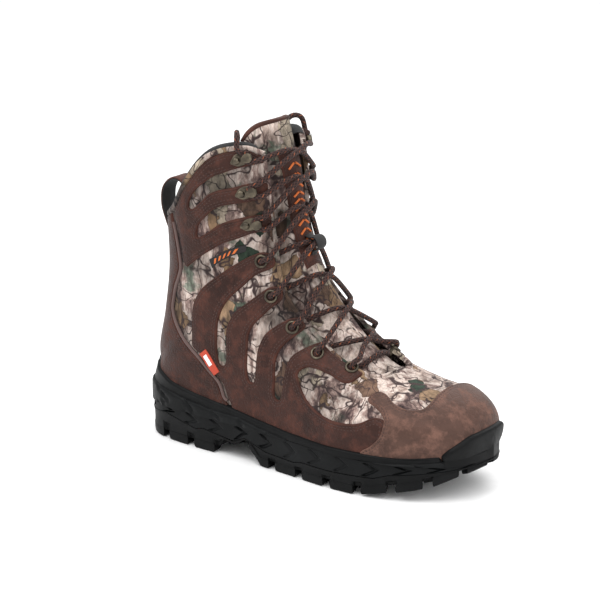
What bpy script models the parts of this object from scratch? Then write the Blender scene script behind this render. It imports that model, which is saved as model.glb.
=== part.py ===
"""Insulated hunting boot, right foot, eight-inch shaft: one object for each separate piece.

The design below is drawn in millimetres with the heel's back edge at X = 0, the toe along +X, the
outer (lateral) side at -Y and the ground at Z = 0. place() turns a drawn point into scene metres
with the boot's own frame: the origin is under the middle of the boot, on the ground.
"""

import math

import bmesh
import bpy
import numpy as np
from mathutils import Vector

MM = 0.001
FRAME_X, FRAME_Y = 155.0, -2.4  # the drawn point that the origin stands under

# Thickness of each layer, as (inner, outer) distance from the inner face of the camo fabric shell.
SHELL = (0.0, 1.6)
LEATHER = (2.1, 3.6)
STIFFENER = (-1.5, -0.3)
BOOTIE = (-6.7, -2.6)
RAND = (4.1, 6.6)
BUMPER = (4.1, 7.2)
BINDING = (2.1, 3.8)
GAP = 0.3

BOARD_Z = 28.7  # underside of the insole board, where the upper stands on the midsole
BOARD_THICK = 1.6
FOOTBED_Z, FOOTBED_THICK = 35.6, 4.5
LACE_RADIUS = 2.1
HINGE_FLAP = (127.0, 249.0)  # X, Z of the line where the tongue's top flap bends
HINGE_FOOTBED = (292.3, 35.6)  # X, Z of the line that the lifted footbed turns about

# Cross sections from toe to collar. Each runs from the ridge, the boot's front line, to the feather
# edge over the sole or, higher up, to the back of the heel and shaft: ridge X and Z, far end X and Z,
# middle Y, outer and inner half width, where the widest point lies along the section, and how
# square the front and the rear half of the section are.
STATIONS = [
    (303, 44, 303, 38, 8, 0, 0, 0.60, 2.0, 2.2),
    (301, 55, 297, 37, 8, 28, 19, 0.62, 2.0, 2.2),
    (293, 66, 284, 36, 8, 42, 29, 0.62, 2.0, 2.4),
    (275, 74, 262, 35, 7, 52, 37, 0.62, 2.1, 2.6),
    (248, 78, 233, 35, 6, 57, 42, 0.64, 2.1, 2.6),
    (221, 86, 203, 36, 5, 58, 45, 0.66, 2.0, 2.6),
    (195, 103, 168, 38, 4, 52, 44, 0.66, 1.9, 2.4),
    (172, 128, 125, 40, 3, 46, 43, 0.66, 1.9, 2.3),
    (155, 155, 80, 41, 1, 44, 42, 0.64, 1.9, 2.2),
    (146, 175, 42, 42, 0, 43, 42, 0.60, 1.9, 2.1),
    (141, 190, 18, 43, 0, 42, 42, 0.56, 1.9, 2.0),
    (138, 202, 9, 60, 0, 42, 42, 0.52, 1.9, 2.0),
    (136, 214, 16, 95, 0, 43, 43, 0.50, 1.9, 2.0),
    (133, 230, 23, 137, 0, 46, 46, 0.50, 2.0, 2.0),
    (128, 249, 23, 184, 0, 49, 49, 0.50, 2.0, 2.0),
    (123, 268, 20, 232, 0, 50, 50, 0.50, 2.0, 2.0),
    (118, 287, 17, 280, 0, 51, 51, 0.50, 2.0, 2.0),
]
HEEL_STATION = 11.0  # from here up, a section ends at the back of the heel instead of over the sole
TOP_STATION = 15.0
FEATHER_LATERAL = [
    (10, 0), (12, -14), (18, -26), (36, -36), (70, -39), (115, -41), (160, -46), (203, -52),
    (235, -51), (262, -44), (284, -31), (297, -16), (303, 8),
]
FEATHER_MEDIAL = [
    (10, 0), (12, 14), (18, 25), (36, 33), (70, 36), (115, 36), (160, 41), (203, 47),
    (235, 47), (262, 43), (284, 35), (297, 24), (303, 8),
]
# Front edge of the quarters along the lacing, and the collar line, as (station, share of the section).
THROAT = [
    (0, 0), (4.70, 0), (4.74, 0.05), (4.85, 0.11), (5.05, 0.145), (5.4, 0.17), (6.0, 0.195),
    (6.9, 0.212), (7.5, 0.22), (8.1, 0.213), (8.9, 0.19), (9.9, 0.172), (12.7, 0.172), (15, 0.155),
]
COLLAR = [
    (0.15, 13.95), (0.20, 14.40), (0.25, 14.60), (0.32, 14.72), (0.39, 14.77), (0.46, 14.67),
    (0.53, 14.45), (0.60, 14.23), (0.67, 13.97), (0.80, 13.95), (1.00, 14.10),
]
ROWS = [
    0, 0.4, 0.9, 1.5, 2.3, 3.4, 4.70, 4.74, 4.9, 5.3, 6.0, 6.8, 7.6, 8.4, 9.2, 10.0, 10.5, 11.0,
    11.8, 12.8, 13.7, 14.58, 14.62, 15.0,
]
COLUMNS = [0, 0.08, 0.16, 0.26, 0.38, 0.50, 0.62, 0.74, 0.87, 1.0]
VAMP_END, QUARTER_START = 4.70, 4.74
SKIRT = 2.0  # the column that drops from the feather edge to the insole board

# Side-view outlines of the leather, as (X, Z), the same on both sides of the boot.
PIPING_LINE = [
    (103, 24), (102, 40), (96, 49), (92, 60), (82, 69), (73, 77), (58, 88), (48, 100), (43, 110),
    (44, 120), (47, 130), (52, 140), (55, 149), (54, 160), (51, 176), (48, 188), (43, 204),
]
UPPER_COMB = [
    (48, 204), (51, 190), (54, 177), (57, 161), (59, 150), (64, 153), (77, 163), (86, 169),
    (93, 174), (103, 178), (114, 183), (124, 186), (128, 191), (126, 197), (118, 198), (105, 195),
    (93, 190), (85, 184), (78, 179), (73, 177), (75, 187), (82, 195), (88, 201), (96, 205),
    (104, 207), (114, 209), (123, 212), (126, 217), (123, 223), (114, 223), (104, 220), (93, 217),
    (85, 213), (79, 207), (71, 200), (67, 200), (68, 206), (73, 214), (82, 222), (90, 228),
    (97, 231), (104, 234), (114, 237), (122, 239), (125, 244), (121, 250), (113, 251), (102, 251),
    (91, 248), (80, 240), (71, 231), (62, 219), (54, 210),
]
LOWER_COMB = [
    (105, 24), (104, 42), (98, 50), (94, 61), (84, 70), (75, 79), (65, 85), (64, 92), (64, 106),
    (65, 118), (69, 128), (76, 137), (88, 147), (100, 156), (112, 164), (122, 168), (130, 165),
    (131, 157), (119, 150), (109, 140), (99, 130), (93, 121), (90, 112), (89, 102), (89, 86),
    (91, 76), (95, 75), (98, 80), (98, 93), (98, 105), (101, 114), (106, 121), (114, 128),
    (122, 135), (131, 142), (139, 141), (141, 133), (134, 126), (127, 118), (121, 111),
    (118, 103), (118, 91), (118, 72), (122, 66), (126, 71), (127, 90), (129, 99), (133, 107),
    (141, 114), (151, 120), (160, 119), (161, 112), (152, 103), (146, 95), (144, 86), (145, 73),
    (145, 61), (149, 57), (153, 62), (154, 76), (155, 86), (158, 93), (166, 99), (177, 104),
    (186, 101), (196, 95), (208, 91), (214, 87), (211, 80), (204, 79), (192, 83), (180, 86),
    (172, 86), (166, 81), (170, 73), (181, 62), (195, 56), (212, 54), (228, 56), (240, 61),
    (245, 57), (243, 49), (236, 40), (227, 35), (224, 24),
]
TOE_CAP = [
    (228, 24), (231, 35), (239, 41), (247, 50), (249, 58), (245, 63), (237, 67), (229, 70),
    (232, 74), (240, 73), (250, 69), (260, 67), (268, 67), (273, 70), (273, 82), (315, 82), (315, 24),
]
RAND_TOP = [
    (-12, 66), (6, 63), (20, 58), (40, 52), (66, 47), (96, 43), (128, 38), (160, 35), (200, 34),
    (250, 35), (268, 37),
]
BUMPER_SIDE = [(269, 24), (269, 36), (276, 40), (287, 44), (296, 48), (315, 50), (315, 24)]
STIFFENER_HEEL = [(-5, 24), (-5, 100), (30, 98), (58, 80), (78, 58), (86, 24)]
STIFFENER_TOE = [(252, 24), (256, 60), (268, 90), (315, 90), (315, 24)]

# Sole: its outline from above, and its side-view lines, heel to toe.
SOLE_OUTLINE = [
    (0, 0), (4, -20), (22, -37), (60, -44), (110, -47), (160, -53), (200, -58), (240, -57),
    (275, -46), (299, -25), (310, 5), (304, 30), (282, 45), (240, 53), (200, 53), (150, 45),
    (110, 42), (60, 41), (22, 35), (4, 20),
]
SOLE_TOP = 28.4
PARTING = [
    (-5, 22), (6, 20), (32, 22), (65, 16), (73, 18), (104, 14), (116, 19), (139, 13), (168, 12),
    (175, 14), (205, 14), (244, 16), (256, 20), (280, 23), (315, 27),
]
GROUND_LINE = [
    (-5, 9), (5, 3), (14, 0), (88, 0), (98, 12), (118, 13), (126, 7), (133, 0), (226, 0),
    (248, 4), (282, 11), (300, 19), (315, 25),
]
HEEL_GROOVES = (33, 62)
FOREFOOT_GROOVES = (152, 180, 208, 236, 264)
GROOVE_WIDTH, GROOVE_DEPTH = 6.0, 5.0

# Lacing, toe to collar: eyelets and hooks (rivet, then tip) as side-view (X, Z), and each row's station.
EYELET_SPOTS = [(204, 87), (177, 96), (153, 113), (133, 135), (122, 161)]
HOOK_SPOTS = [((110, 190), (119, 192.5)), ((107, 215), (117, 218.5)), ((103, 240), (113, 244.5))]
ROW_STATIONS = [5.45, 6.35, 7.25, 8.20, 9.55, 12.05, 13.20, 14.25]
HOOK_HEIGHT = 7.1  # the lace's middle in a hook, over the upper
EYELET_BORE, EYELET_FLANGE = 3.0, 5.2
SIDES = {"lateral": -1, "medial": 1}


# ---------------------------------------------------------------- curves and the upper's surface


def smooth(values, at):
    """Catmull-Rom curve through the values, read at the given positions."""
    values = np.asarray(values, float)
    last = len(values) - 1
    at = np.clip(np.asarray(at, float), 0, last - 1e-9)
    index = np.floor(at).astype(int)
    part = (at - index)[..., None]
    ends = np.concatenate([[2 * values[0] - values[1]], values, [2 * values[-1] - values[-2]]])
    p0, p1, p2, p3 = (ends[index + k] for k in range(4))
    return 0.5 * (
        2 * p1
        + (p2 - p0) * part
        + (2 * p0 - 5 * p1 + 4 * p2 - p3) * part**2
        + (3 * p1 - p0 - 3 * p2 + p3) * part**3
    )


def edge_y(outline, x):
    points = smooth(outline, np.linspace(0, len(outline) - 1, 400))
    return np.interp(x, points[:, 0], points[:, 1])


def upper_point(station, share, side):
    """Point on the inner face of the shell: side -1 is lateral, 1 is medial."""
    front_x, front_z, far_x, far_z, mid_y, out, inner, widest, front_n, rear_n = smooth(STATIONS, station)
    width = max(out if side < 0 else inner, 1e-9)
    feather = 0.0
    if station < HEEL_STATION - 0.05:
        outline = FEATHER_LATERAL if side < 0 else FEATHER_MEDIAL
        feather = min(max(side * (edge_y(outline, far_x) - mid_y) / width, 0.0), 1.0)
    closing = (1 - feather**rear_n) ** (1 / rear_n)
    if share < 0.5:
        turn = share * math.pi
        along = widest * (1 - math.cos(turn) ** (2 / front_n))
        across = math.sin(turn) ** (2 / front_n)
    elif closing < 0.02:
        along, across = widest + (1 - widest) * (2 * share - 1), 1.0
    else:
        turn = (2 * share - 1) * math.asin(closing ** (rear_n / 2))
        along = widest + (1 - widest) * math.sin(turn) ** (2 / rear_n) / closing
        across = math.cos(turn) ** (2 / rear_n)
    return np.array([
        front_x + (far_x - front_x) * along,
        mid_y + side * across * width,
        front_z + (far_z - front_z) * along,
    ])


def from_table(table, at):
    return float(np.interp(at, [row[0] for row in table], [row[1] for row in table]))


def chart_point(row, column, side):
    """Point for a grid row and column: columns start at the throat edge, the top row is the collar."""
    if column == SKIRT:
        edge = chart_point(row, 1.0, side)
        return np.array([edge[0], edge[1], BOARD_Z + 0.1])
    station = float(row)
    for _ in range(4):
        throat = from_table(THROAT, station)
        share = throat + (1 - throat) * column
        if row > HEEL_STATION:
            climb = (row - HEEL_STATION) / (TOP_STATION - HEEL_STATION)
            station = HEEL_STATION + climb * (from_table(COLLAR, share) - HEEL_STATION)
    return upper_point(station, share, side)


def upper_normal(station, share, side):
    step = 0.02
    along = upper_point(station + step, share, side) - upper_point(station - step, share, side)
    before = upper_point(station, abs(share - step), side if share > step else -side)
    across = upper_point(station, min(share + step, 1.0), side) - before
    normal = np.cross(across, along) * side
    return normal / np.linalg.norm(normal)


def off_upper(station, share, side, height):
    return upper_point(station, share, side) + height * upper_normal(station, share, side)


def place(point):
    return ((point[0] - FRAME_X) * MM, (point[1] - FRAME_Y) * MM, point[2] * MM)


# ---------------------------------------------------------------- scene, materials and objects


def clear_scene():
    for old in list(bpy.data.objects):
        bpy.data.objects.remove(old, do_unlink=True)


def new_collection(name):
    collection = bpy.data.collections.new(name)
    bpy.context.scene.collection.children.link(collection)
    return collection


def material(name, colour, roughness, metallic=0.0):
    made = bpy.data.materials.new(name)
    made.use_nodes = True
    shader = made.node_tree.nodes["Principled BSDF"]
    shader.inputs["Base Color"].default_value = (*colour, 1.0)
    shader.inputs["Roughness"].default_value = roughness
    shader.inputs["Metallic"].default_value = metallic
    made.diffuse_color = (*colour, 1.0)
    return made


clear_scene()
BOOT = new_collection("insulated_hunting_boot")
CUTTERS = new_collection("cutters")
CAMO = material("camo_fabric", (0.42, 0.38, 0.35), 0.85)
BROWN = material("brown_leather", (0.10, 0.052, 0.036), 0.6)
LINING = material("lining_fabric", (0.03, 0.03, 0.03), 0.9)
RUBBER = material("black_rubber", (0.022, 0.024, 0.025), 0.65)
FOAM = material("midsole_foam", (0.03, 0.034, 0.034), 0.7)
BOARD = material("fibre_board", (0.35, 0.25, 0.16), 0.85)
NYLON = material("stiffener_sheet", (0.75, 0.74, 0.70), 0.6)
STEEL = material("spring_steel", (0.55, 0.55, 0.55), 0.35, 1.0)
BRASS = material("antique_brass", (0.24, 0.21, 0.15), 0.38, 1.0)
LACE = material("lace_cord", (0.075, 0.035, 0.028), 0.8)
PIPING = material("piping", (0.16, 0.11, 0.10), 0.55)
ORANGE = material("orange_label", (0.70, 0.16, 0.06), 0.7)


def add_object(name, mesh, finish, collection=None):
    made = bpy.data.objects.new(name, mesh)
    mesh.materials.append(finish)
    (collection or BOOT).objects.link(made)
    return made


def mesh_from(name, build, smooth_angle=40):
    """New mesh from a function that fills a bmesh; doubled points are made one."""
    mesh = bpy.data.meshes.new(name)
    shape = bmesh.new()
    build(shape)
    bmesh.ops.remove_doubles(shape, verts=shape.verts, dist=1e-6)
    shape.to_mesh(mesh)
    shape.free()
    mesh.shade_smooth()
    mesh.set_sharp_from_angle(angle=math.radians(smooth_angle))
    return mesh


def prism(name, outline, low, high, plane="XZ"):
    """Closed cutter: a flat outline carried from low to high across its plane."""
    def build(shape):
        rings = []
        for across in (low, high):
            points = [(a, across, b) if plane == "XZ" else (a, b, across) for a, b in outline]
            rings.append([shape.verts.new(place(point)) for point in points])
        shape.faces.new(rings[0])
        shape.faces.new(rings[1][::-1])
        for k in range(len(outline)):
            after = (k + 1) % len(outline)
            shape.faces.new((rings[0][k], rings[1][k], rings[1][after], rings[0][after]))
        bmesh.ops.triangulate(shape, faces=[face for face in shape.faces if len(face.verts) > 4])
        bmesh.ops.recalc_face_normals(shape, faces=shape.faces)
    made = add_object(name, mesh_from(name, build), NYLON, CUTTERS)
    made.hide_render = True
    made.display_type = "WIRE"
    return made


def boolean(made, operation, cutter):
    cut = made.modifiers.new(operation.lower(), "BOOLEAN")
    cut.operation = operation
    cut.solver = "EXACT"
    cut.object = cutter
    return made


def cylinder_cutter(name, centre, direction, radius, length, segments=8):
    """Closed round cutter along a direction."""
    def build(shape):
        bmesh.ops.create_cone(
            shape, cap_ends=True, segments=segments,
            radius1=radius * MM, radius2=radius * MM, depth=length * MM,
        )
    made = add_object(name, mesh_from(name, build), NYLON, CUTTERS)
    set_along(made, centre, direction)
    made.hide_render = True
    made.display_type = "WIRE"
    return made


def set_along(made, centre, direction):
    """Turns an object's own +Z to a direction and puts its origin at a drawn point."""
    turn = Vector(direction).to_track_quat("Z", "Y")
    made.rotation_mode = "QUATERNION"
    made.rotation_quaternion = turn
    made.location = place(centre)


# ---------------------------------------------------------------- pieces laid on the upper's surface


def upper_patch(name, finish, layer, rows, columns, sides=(-1, 1), skirt=True, floor=False):
    """A layer of the upper: a loft of the sections, given its thickness by Solidify.

    columns lists the grid's columns, or is a function that gives them for a row.
    """
    def grid_row(row, side):
        chosen = list(columns(row) if callable(columns) else columns)
        if skirt and row <= HEEL_STATION:
            chosen.append(SKIRT)
        return {column: chart_point(row, column, side) for column in chosen}

    def build(shape):
        for side in sides:
            grid = []
            for row in rows:
                points = grid_row(row, side)
                grid.append({column: shape.verts.new(place(point)) for column, point in points.items()})
            for upper, lower in zip(grid, grid[1:]):
                shared = [column for column in upper if column in lower]
                for left, right in zip(shared, shared[1:]):
                    first = (upper[left], upper[right], lower[right])
                    second = (upper[left], lower[right], lower[left])
                    for corners in (first, second):
                        shape.faces.new(corners if side > 0 else corners[::-1])
        if floor:
            close_floor(shape, rows)

    made = add_object(name, mesh_from(name, build), finish)
    wall = made.modifiers.new("thickness", "SOLIDIFY")
    inner, outer = layer
    wall.thickness = (outer - inner) * MM
    wall.offset = (outer + inner) / (outer - inner)
    wall.use_even_offset = False
    return made


def close_floor(shape, rows):
    """Bottom of the bootie, between the lateral and the medial skirt."""
    shares = (0, 0.33, 0.67, 1)
    strips = []
    for row in rows:
        if row <= HEEL_STATION:
            left, right = chart_point(row, SKIRT, -1), chart_point(row, SKIRT, 1)
            strips.append([shape.verts.new(place(left + (right - left) * share)) for share in shares])
    for upper, lower in zip(strips, strips[1:]):
        for k in range(len(shares) - 1):
            shape.faces.new((upper[k], lower[k], lower[k + 1], upper[k + 1]))


def between(low, high):
    return [row for row in ROWS if low <= row <= high]


def trimmed(made, outline, side=None):
    """Keeps what lies inside a side-view outline, on one side of the boot or on both."""
    low, high = {None: (-90, 90), -1: (-90, 0), 1: (0, 90)}[side]
    return boolean(made, "INTERSECT", prism(made.name + "_outline", outline, low, high))


def turned(name, profile, finish, centre, direction, steps=10):
    """A turned piece: a profile of (radius, height) round its own Z axis."""
    mesh = bpy.data.meshes.new(name)
    points = [(radius * MM, 0, height * MM) for radius, height in profile]
    closed = profile[0][0] > 0
    edges = [(k, k + 1) for k in range(len(points) - 1)]
    if closed:
        edges.append((len(points) - 1, 0))
    mesh.from_pydata(points, edges, [])
    made = add_object(name, mesh, finish)
    screw = made.modifiers.new("turn", "SCREW")
    screw.steps = screw.render_steps = steps
    screw.use_merge_vertices = True
    screw.merge_threshold = 1e-5
    set_along(made, centre, direction)
    return made


def thinned(points, tolerance):
    """The fewest of a line's points that keep it within a tolerance."""
    chord = points[-1] - points[0]
    chord = chord / max(np.linalg.norm(chord), 1e-9)
    away = points - points[0]
    distance = np.linalg.norm(away - np.outer(away @ chord, chord), axis=1)
    far = int(distance.argmax())
    if distance[far] <= tolerance:
        return points[[0, -1]]
    return np.concatenate([thinned(points[: far + 1], tolerance)[:-1], thinned(points[far:], tolerance)])


def tube(name, points, radius, finish, bevel_resolution=2, tolerance=0.4):
    """A round cord through drawn points: a smooth curve, with rings only where it bends."""
    dense = smooth(points, np.linspace(0, len(points) - 1, 12 * len(points)))
    route = thinned(dense, tolerance)
    curve = bpy.data.curves.new(name, "CURVE")
    curve.dimensions = "3D"
    curve.bevel_depth = radius * MM
    curve.bevel_resolution = bevel_resolution
    curve.use_fill_caps = True
    line = curve.splines.new("POLY")
    line.points.add(len(route) - 1)
    for knot, point in zip(line.points, route):
        knot.co = (*place(point), 1.0)
    made = bpy.data.objects.new(name, curve)
    curve.materials.append(finish)
    BOOT.objects.link(made)
    return made


def band(name, rails, finish):
    """A closed strip lofted through rings of drawn points.

    A ring's second half runs back over its first, so its faces are split the other way.
    """
    def build(shape):
        rings = [[shape.verts.new(place(point)) for point in ring] for ring in rails]
        count = len(rings[0])
        for before, after in zip(rings, rings[1:]):
            for k in range(count):
                n = (k + 1) % count
                if k < count // 2:
                    shape.faces.new((before[k], before[n], after[n]))
                    shape.faces.new((before[k], after[n], after[k]))
                else:
                    shape.faces.new((before[k], before[n], after[k]))
                    shape.faces.new((before[n], after[n], after[k]))
        shape.faces.new(rings[0][::-1])
        shape.faces.new(rings[-1])
        bmesh.ops.recalc_face_normals(shape, faces=shape.faces)
    return add_object(name, mesh_from(name, build), finish)


# ---------------------------------------------------------------- side-view lookup


def chart_triangles(side):
    """The upper's facets on one side, with the smoothed normals of their corners."""
    points = np.array([[chart_point(row, column, side) for column in COLUMNS] for row in ROWS])
    along = np.gradient(points, axis=0)
    across = np.gradient(points, axis=1)
    normals = np.cross(across, along) * side
    normals /= np.linalg.norm(normals, axis=2, keepdims=True) + 1e-12
    found = []
    for i in range(len(ROWS) - 1):
        for j in range(len(COLUMNS) - 1):
            for picks in (((i, j), (i, j + 1), (i + 1, j + 1)), ((i, j), (i + 1, j + 1), (i + 1, j))):
                found.append(([points[p] for p in picks], [normals[p] for p in picks]))
    return found


FACETS = {side: chart_triangles(side) for side in SIDES.values()}


def on_side(x, z, side):
    """(point, normal) of the upper's facets seen from one side at X, Z."""
    best, nearest = None, 1e9
    for corners, normals in FACETS[side]:
        (ax, _, az), (bx, _, bz), (cx, _, cz) = corners
        area = (bx - ax) * (cz - az) - (cx - ax) * (bz - az)
        if abs(area) < 1e-6:
            continue
        v = ((x - ax) * (cz - az) - (cx - ax) * (z - az)) / area
        w = ((bx - ax) * (z - az) - (x - ax) * (bz - az)) / area
        outside = max(-v, -w, v + w - 1)
        if outside < nearest:
            shares = np.array([1 - v - w, v, w])
            normal = shares @ np.array(normals)
            best = (shares @ np.array(corners), normal / np.linalg.norm(normal))
            nearest = outside
        if outside <= 0:
            break
    return best


def above_side(x, z, side, height):
    point, normal = on_side(x, z, side)
    return point + height * normal


# ---------------------------------------------------------------- sole


def closed_outline(points, count):
    """Smooth closed curve through the points, at even steps of their index."""
    cycle = list(points) + list(points[:3])
    return smooth(cycle[-1:] + cycle, 1 + np.arange(count) * len(points) / count)


def inset(outline, distance):
    """A closed outline moved towards its inside."""
    ahead = np.roll(outline, -1, axis=0) - np.roll(outline, 1, axis=0)
    normal = np.stack([ahead[:, 1], -ahead[:, 0]], axis=1)
    normal /= np.linalg.norm(normal, axis=1, keepdims=True)
    middle = outline.mean(axis=0)
    inward = np.sign(((middle - outline) * normal).sum(axis=1)).mean()
    return outline + distance * normal * (1 if inward > 0 else -1)


def sole_block(name, finish):
    """The whole sole's side wall as a loft, before its layers are cut apart."""
    outline = closed_outline(SOLE_OUTLINE, 40)
    levels = [(-1.0, 2.4), (9.0, 1.0), (18.0, 0.0), (SOLE_TOP, 0.8)]

    def build(shape):
        rings = []
        for height, shrink in levels:
            rings.append([shape.verts.new(place((x, y, height))) for x, y in inset(outline, shrink)])
        for lower, upper in zip(rings, rings[1:]):
            for k in range(len(lower)):
                n = (k + 1) % len(lower)
                shape.faces.new((lower[k], lower[n], upper[n], upper[k]))
        shape.faces.new(rings[0])
        shape.faces.new(rings[-1])
        bmesh.ops.recalc_face_normals(shape, faces=shape.faces)

    return add_object(name, mesh_from(name, build), finish)


def make_sole():
    outsole = sole_block("outsole", RUBBER)
    ground = GROUND_LINE + [(x, z - GAP / 2) for x, z in reversed(PARTING)]
    boolean(outsole, "INTERSECT", prism("outsole_profile", ground, -90, 90))
    for x in HEEL_GROOVES + FOREFOOT_GROOVES:
        floor = from_table(GROUND_LINE, x) + GROOVE_DEPTH
        half = GROOVE_WIDTH / 2
        outline = [(x - half, -3), (x + half, -3), (x + half - 1, floor), (x - half + 1, floor)]
        for side, reach in (("lateral", (-90, -12)), ("medial", (12, 90))):
            boolean(outsole, "DIFFERENCE", prism(f"groove_{x}_{side}", outline, *reach))

    midsole = sole_block("midsole", FOAM)
    body = [(x, z + GAP / 2) for x, z in PARTING] + [(315, SOLE_TOP + 3), (-5, SOLE_TOP + 3)]
    boolean(midsole, "INTERSECT", prism("midsole_profile", body, -90, 90))
    pocket = [(58, -9), (152, -9), (152, 9), (58, 9)]
    boolean(midsole, "DIFFERENCE", prism("shank_pocket", pocket, 26.0, SOLE_TOP + 5, plane="XY"))

    def shank_plate(shape):
        bmesh.ops.create_cube(shape, size=1.0)
        bmesh.ops.scale(shape, vec=(92 * MM, 16 * MM, 1.6 * MM), verts=shape.verts)

    shank = add_object("shank", mesh_from("shank", shank_plate), STEEL)
    shank.location = place((105, 0, 27.4))
    rounded = shank.modifiers.new("rounded", "BEVEL")
    rounded.width = 0.5 * MM
    rounded.segments = 1


def flat_board(name, finish, shrink, low, thickness):
    """A board that fills the floor of the upper, as an extruded outline."""
    rows = between(0, HEEL_STATION)
    lateral = [chart_point(row, SKIRT, -1)[:2] for row in rows]
    medial = [chart_point(row, SKIRT, 1)[:2] for row in rows[1:-1]]
    outline = inset(np.array(lateral + medial[::-1]), shrink)
    curve = bpy.data.curves.new(name, "CURVE")
    curve.dimensions = "2D"
    curve.fill_mode = "BOTH"
    curve.extrude = thickness / 2 * MM
    line = curve.splines.new("POLY")
    line.points.add(len(outline) - 1)
    for knot, (x, y) in zip(line.points, outline):
        knot.co = (x * MM, y * MM, 0, 1)
    line.use_cyclic_u = True
    made = bpy.data.objects.new(name, curve)
    curve.materials.append(finish)
    BOOT.objects.link(made)
    made.location = (-FRAME_X * MM, -FRAME_Y * MM, (low + thickness / 2) * MM)
    return made


def make_footbed():
    """The removable footbed hangs on an empty at its toe end, the line it is lifted about."""
    flat_board("insole_board", BOARD, 0.7, BOARD_Z, BOARD_THICK)
    footbed = flat_board("footbed", LINING, 10.7, FOOTBED_Z, FOOTBED_THICK)
    hinge = bpy.data.objects.new("footbed_hinge", None)
    BOOT.objects.link(hinge)
    hinge.location = place((HINGE_FOOTBED[0], 0, HINGE_FOOTBED[1]))
    footbed.parent = hinge
    footbed.matrix_parent_inverse.identity()
    footbed.location = [footbed.location[k] - hinge.location[k] for k in range(3)]


# ---------------------------------------------------------------- upper


BINDING_ROWS = (14.58, 14.62)
BOOTIE_ROWS = [row for row in ROWS if row not in (4.74, 4.9, 14.62)]
COMB_ROWS = between(0, 14.5) + [BINDING_ROWS[0]]


def make_shell():
    upper_patch("vamp_fabric", CAMO, SHELL, between(0, VAMP_END), COLUMNS)
    for name, side in SIDES.items():
        columns = COLUMNS[:-1] + [0.996]
        rows = between(QUARTER_START, TOP_STATION)
        upper_patch(f"quarter_fabric_{name}", CAMO, SHELL, rows, columns, sides=(side,))
    for name, rows, columns, outline in (
        ("toe_puff", between(0, VAMP_END), COLUMNS, STIFFENER_TOE),
        ("heel_counter", between(6.8, 14.0), COLUMNS[3:], STIFFENER_HEEL),
    ):
        trimmed(upper_patch(name, NYLON, STIFFENER, rows, columns), [(x, max(z, 31)) for x, z in outline])
    upper_patch(
        "insulated_bootie", LINING, BOOTIE, BOOTIE_ROWS,
        lambda row: COLUMNS if row <= VAMP_END else COLUMNS[3:], floor=True,
    )


def make_leather():
    for name, side in SIDES.items():
        trimmed(
            upper_patch(f"lower_overlay_{name}", BROWN, LEATHER, between(3.4, 12.8), COLUMNS, (side,)),
            LOWER_COMB, side,
        )
        rows = [row for row in COMB_ROWS if row > 8]
        trimmed(
            upper_patch(f"upper_overlay_{name}", BROWN, LEATHER, rows, COLUMNS, (side,), False),
            UPPER_COMB, side,
        )
    heel_edge = [(x - 3.6, z) for x, z in PIPING_LINE]
    trimmed(
        upper_patch("heel_overlay", BROWN, LEATHER, [row for row in COMB_ROWS if row > 6], COLUMNS[3:]),
        heel_edge + [(-10, 215), (-10, 24)],
    )
    trimmed(upper_patch("toe_cap", BROWN, LEATHER, between(0, VAMP_END), COLUMNS), TOE_CAP)
    upper_patch(
        "collar_binding", CAMO, BINDING, [BINDING_ROWS[1], TOP_STATION], COLUMNS, skirt=False,
    )
    band_side = [(x, z) for x, z in RAND_TOP] + [(268, 24), (-12, 24)]
    trimmed(upper_patch("rand", RUBBER, RAND, between(0.8, 12.8), COLUMNS[4:]), band_side)
    trimmed(upper_patch("toe_bumper", RUBBER, BUMPER, between(0, 3.4), COLUMNS[2:]), BUMPER_SIDE)


def make_piping():
    for name, side in SIDES.items():
        route = [above_side(x - 1.6, z, side, 5.2) for x, z in [(99, 46.5)] + PIPING_LINE[2:-2]]
        tube(f"heel_piping_{name}", route, 1.1, PIPING, bevel_resolution=1)


# ---------------------------------------------------------------- tongue


def ease(value):
    value = min(max(value, 0.0), 1.0)
    return value * value * (3 - 2 * value)


def tongue_depth(station, share):
    """How far the tongue's face lies under the upper's inner face."""
    throat = max(from_table(THROAT, station), 0.06)
    under_flap = ease((share - 0.35 * throat) / (0.55 * throat))
    return 1.9 + 5.1 * under_flap + 3.0 * ease((share - 0.24) / 0.08)


def tongue_point(station, share, side, height):
    return off_upper(station, share, side, height - tongue_depth(station, share))


def tongue_solid(name, finish, stations, reach, low, high, count=6):
    """A padded strip of the tongue, from one edge over the ridge to the other."""
    def build(shape):
        layers = []
        for height in (low, high):
            grid = []
            for station in stations:
                edge = reach(station)
                row = []
                for k in range(-count, count + 1):
                    side = -1 if k < 0 else 1
                    row.append(tongue_point(station, edge * abs(k) / count, side, height))
                grid.append([shape.verts.new(place(point)) for point in row])
            layers.append(grid)
        rows, columns = len(stations), 2 * count + 1
        for grid in layers:
            for i in range(rows - 1):
                for j in range(columns - 1):
                    shape.faces.new((grid[i][j], grid[i][j + 1], grid[i + 1][j + 1], grid[i + 1][j]))
        rim = [(0, j) for j in range(columns)] + [(i, columns - 1) for i in range(1, rows)]
        rim += [(rows - 1, j) for j in range(columns - 2, -1, -1)] + [(i, 0) for i in range(rows - 2, 0, -1)]
        for (i, j), (m, n) in zip(rim, rim[1:] + rim[:1]):
            shape.faces.new((layers[0][i][j], layers[0][m][n], layers[1][m][n], layers[1][i][j]))
        bmesh.ops.recalc_face_normals(shape, faces=shape.faces)
    return add_object(name, mesh_from(name, build), finish)


TONGUE_STATIONS = [4.95, 5.5, 6.1, 6.7, 7.3, 7.9, 8.5, 9.2, 10.0, 11.0, 12.0, 13.0, 13.93]
FLAP_STATIONS = [14.04, 14.4, 14.8, 15.1]
STRIP_STATIONS = [8.15, 8.8, 9.6, 10.6, 11.8, 12.8, 13.80]


def tongue_reach(station):
    return min(from_table(THROAT, station) + 0.10, 0.30)


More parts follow.
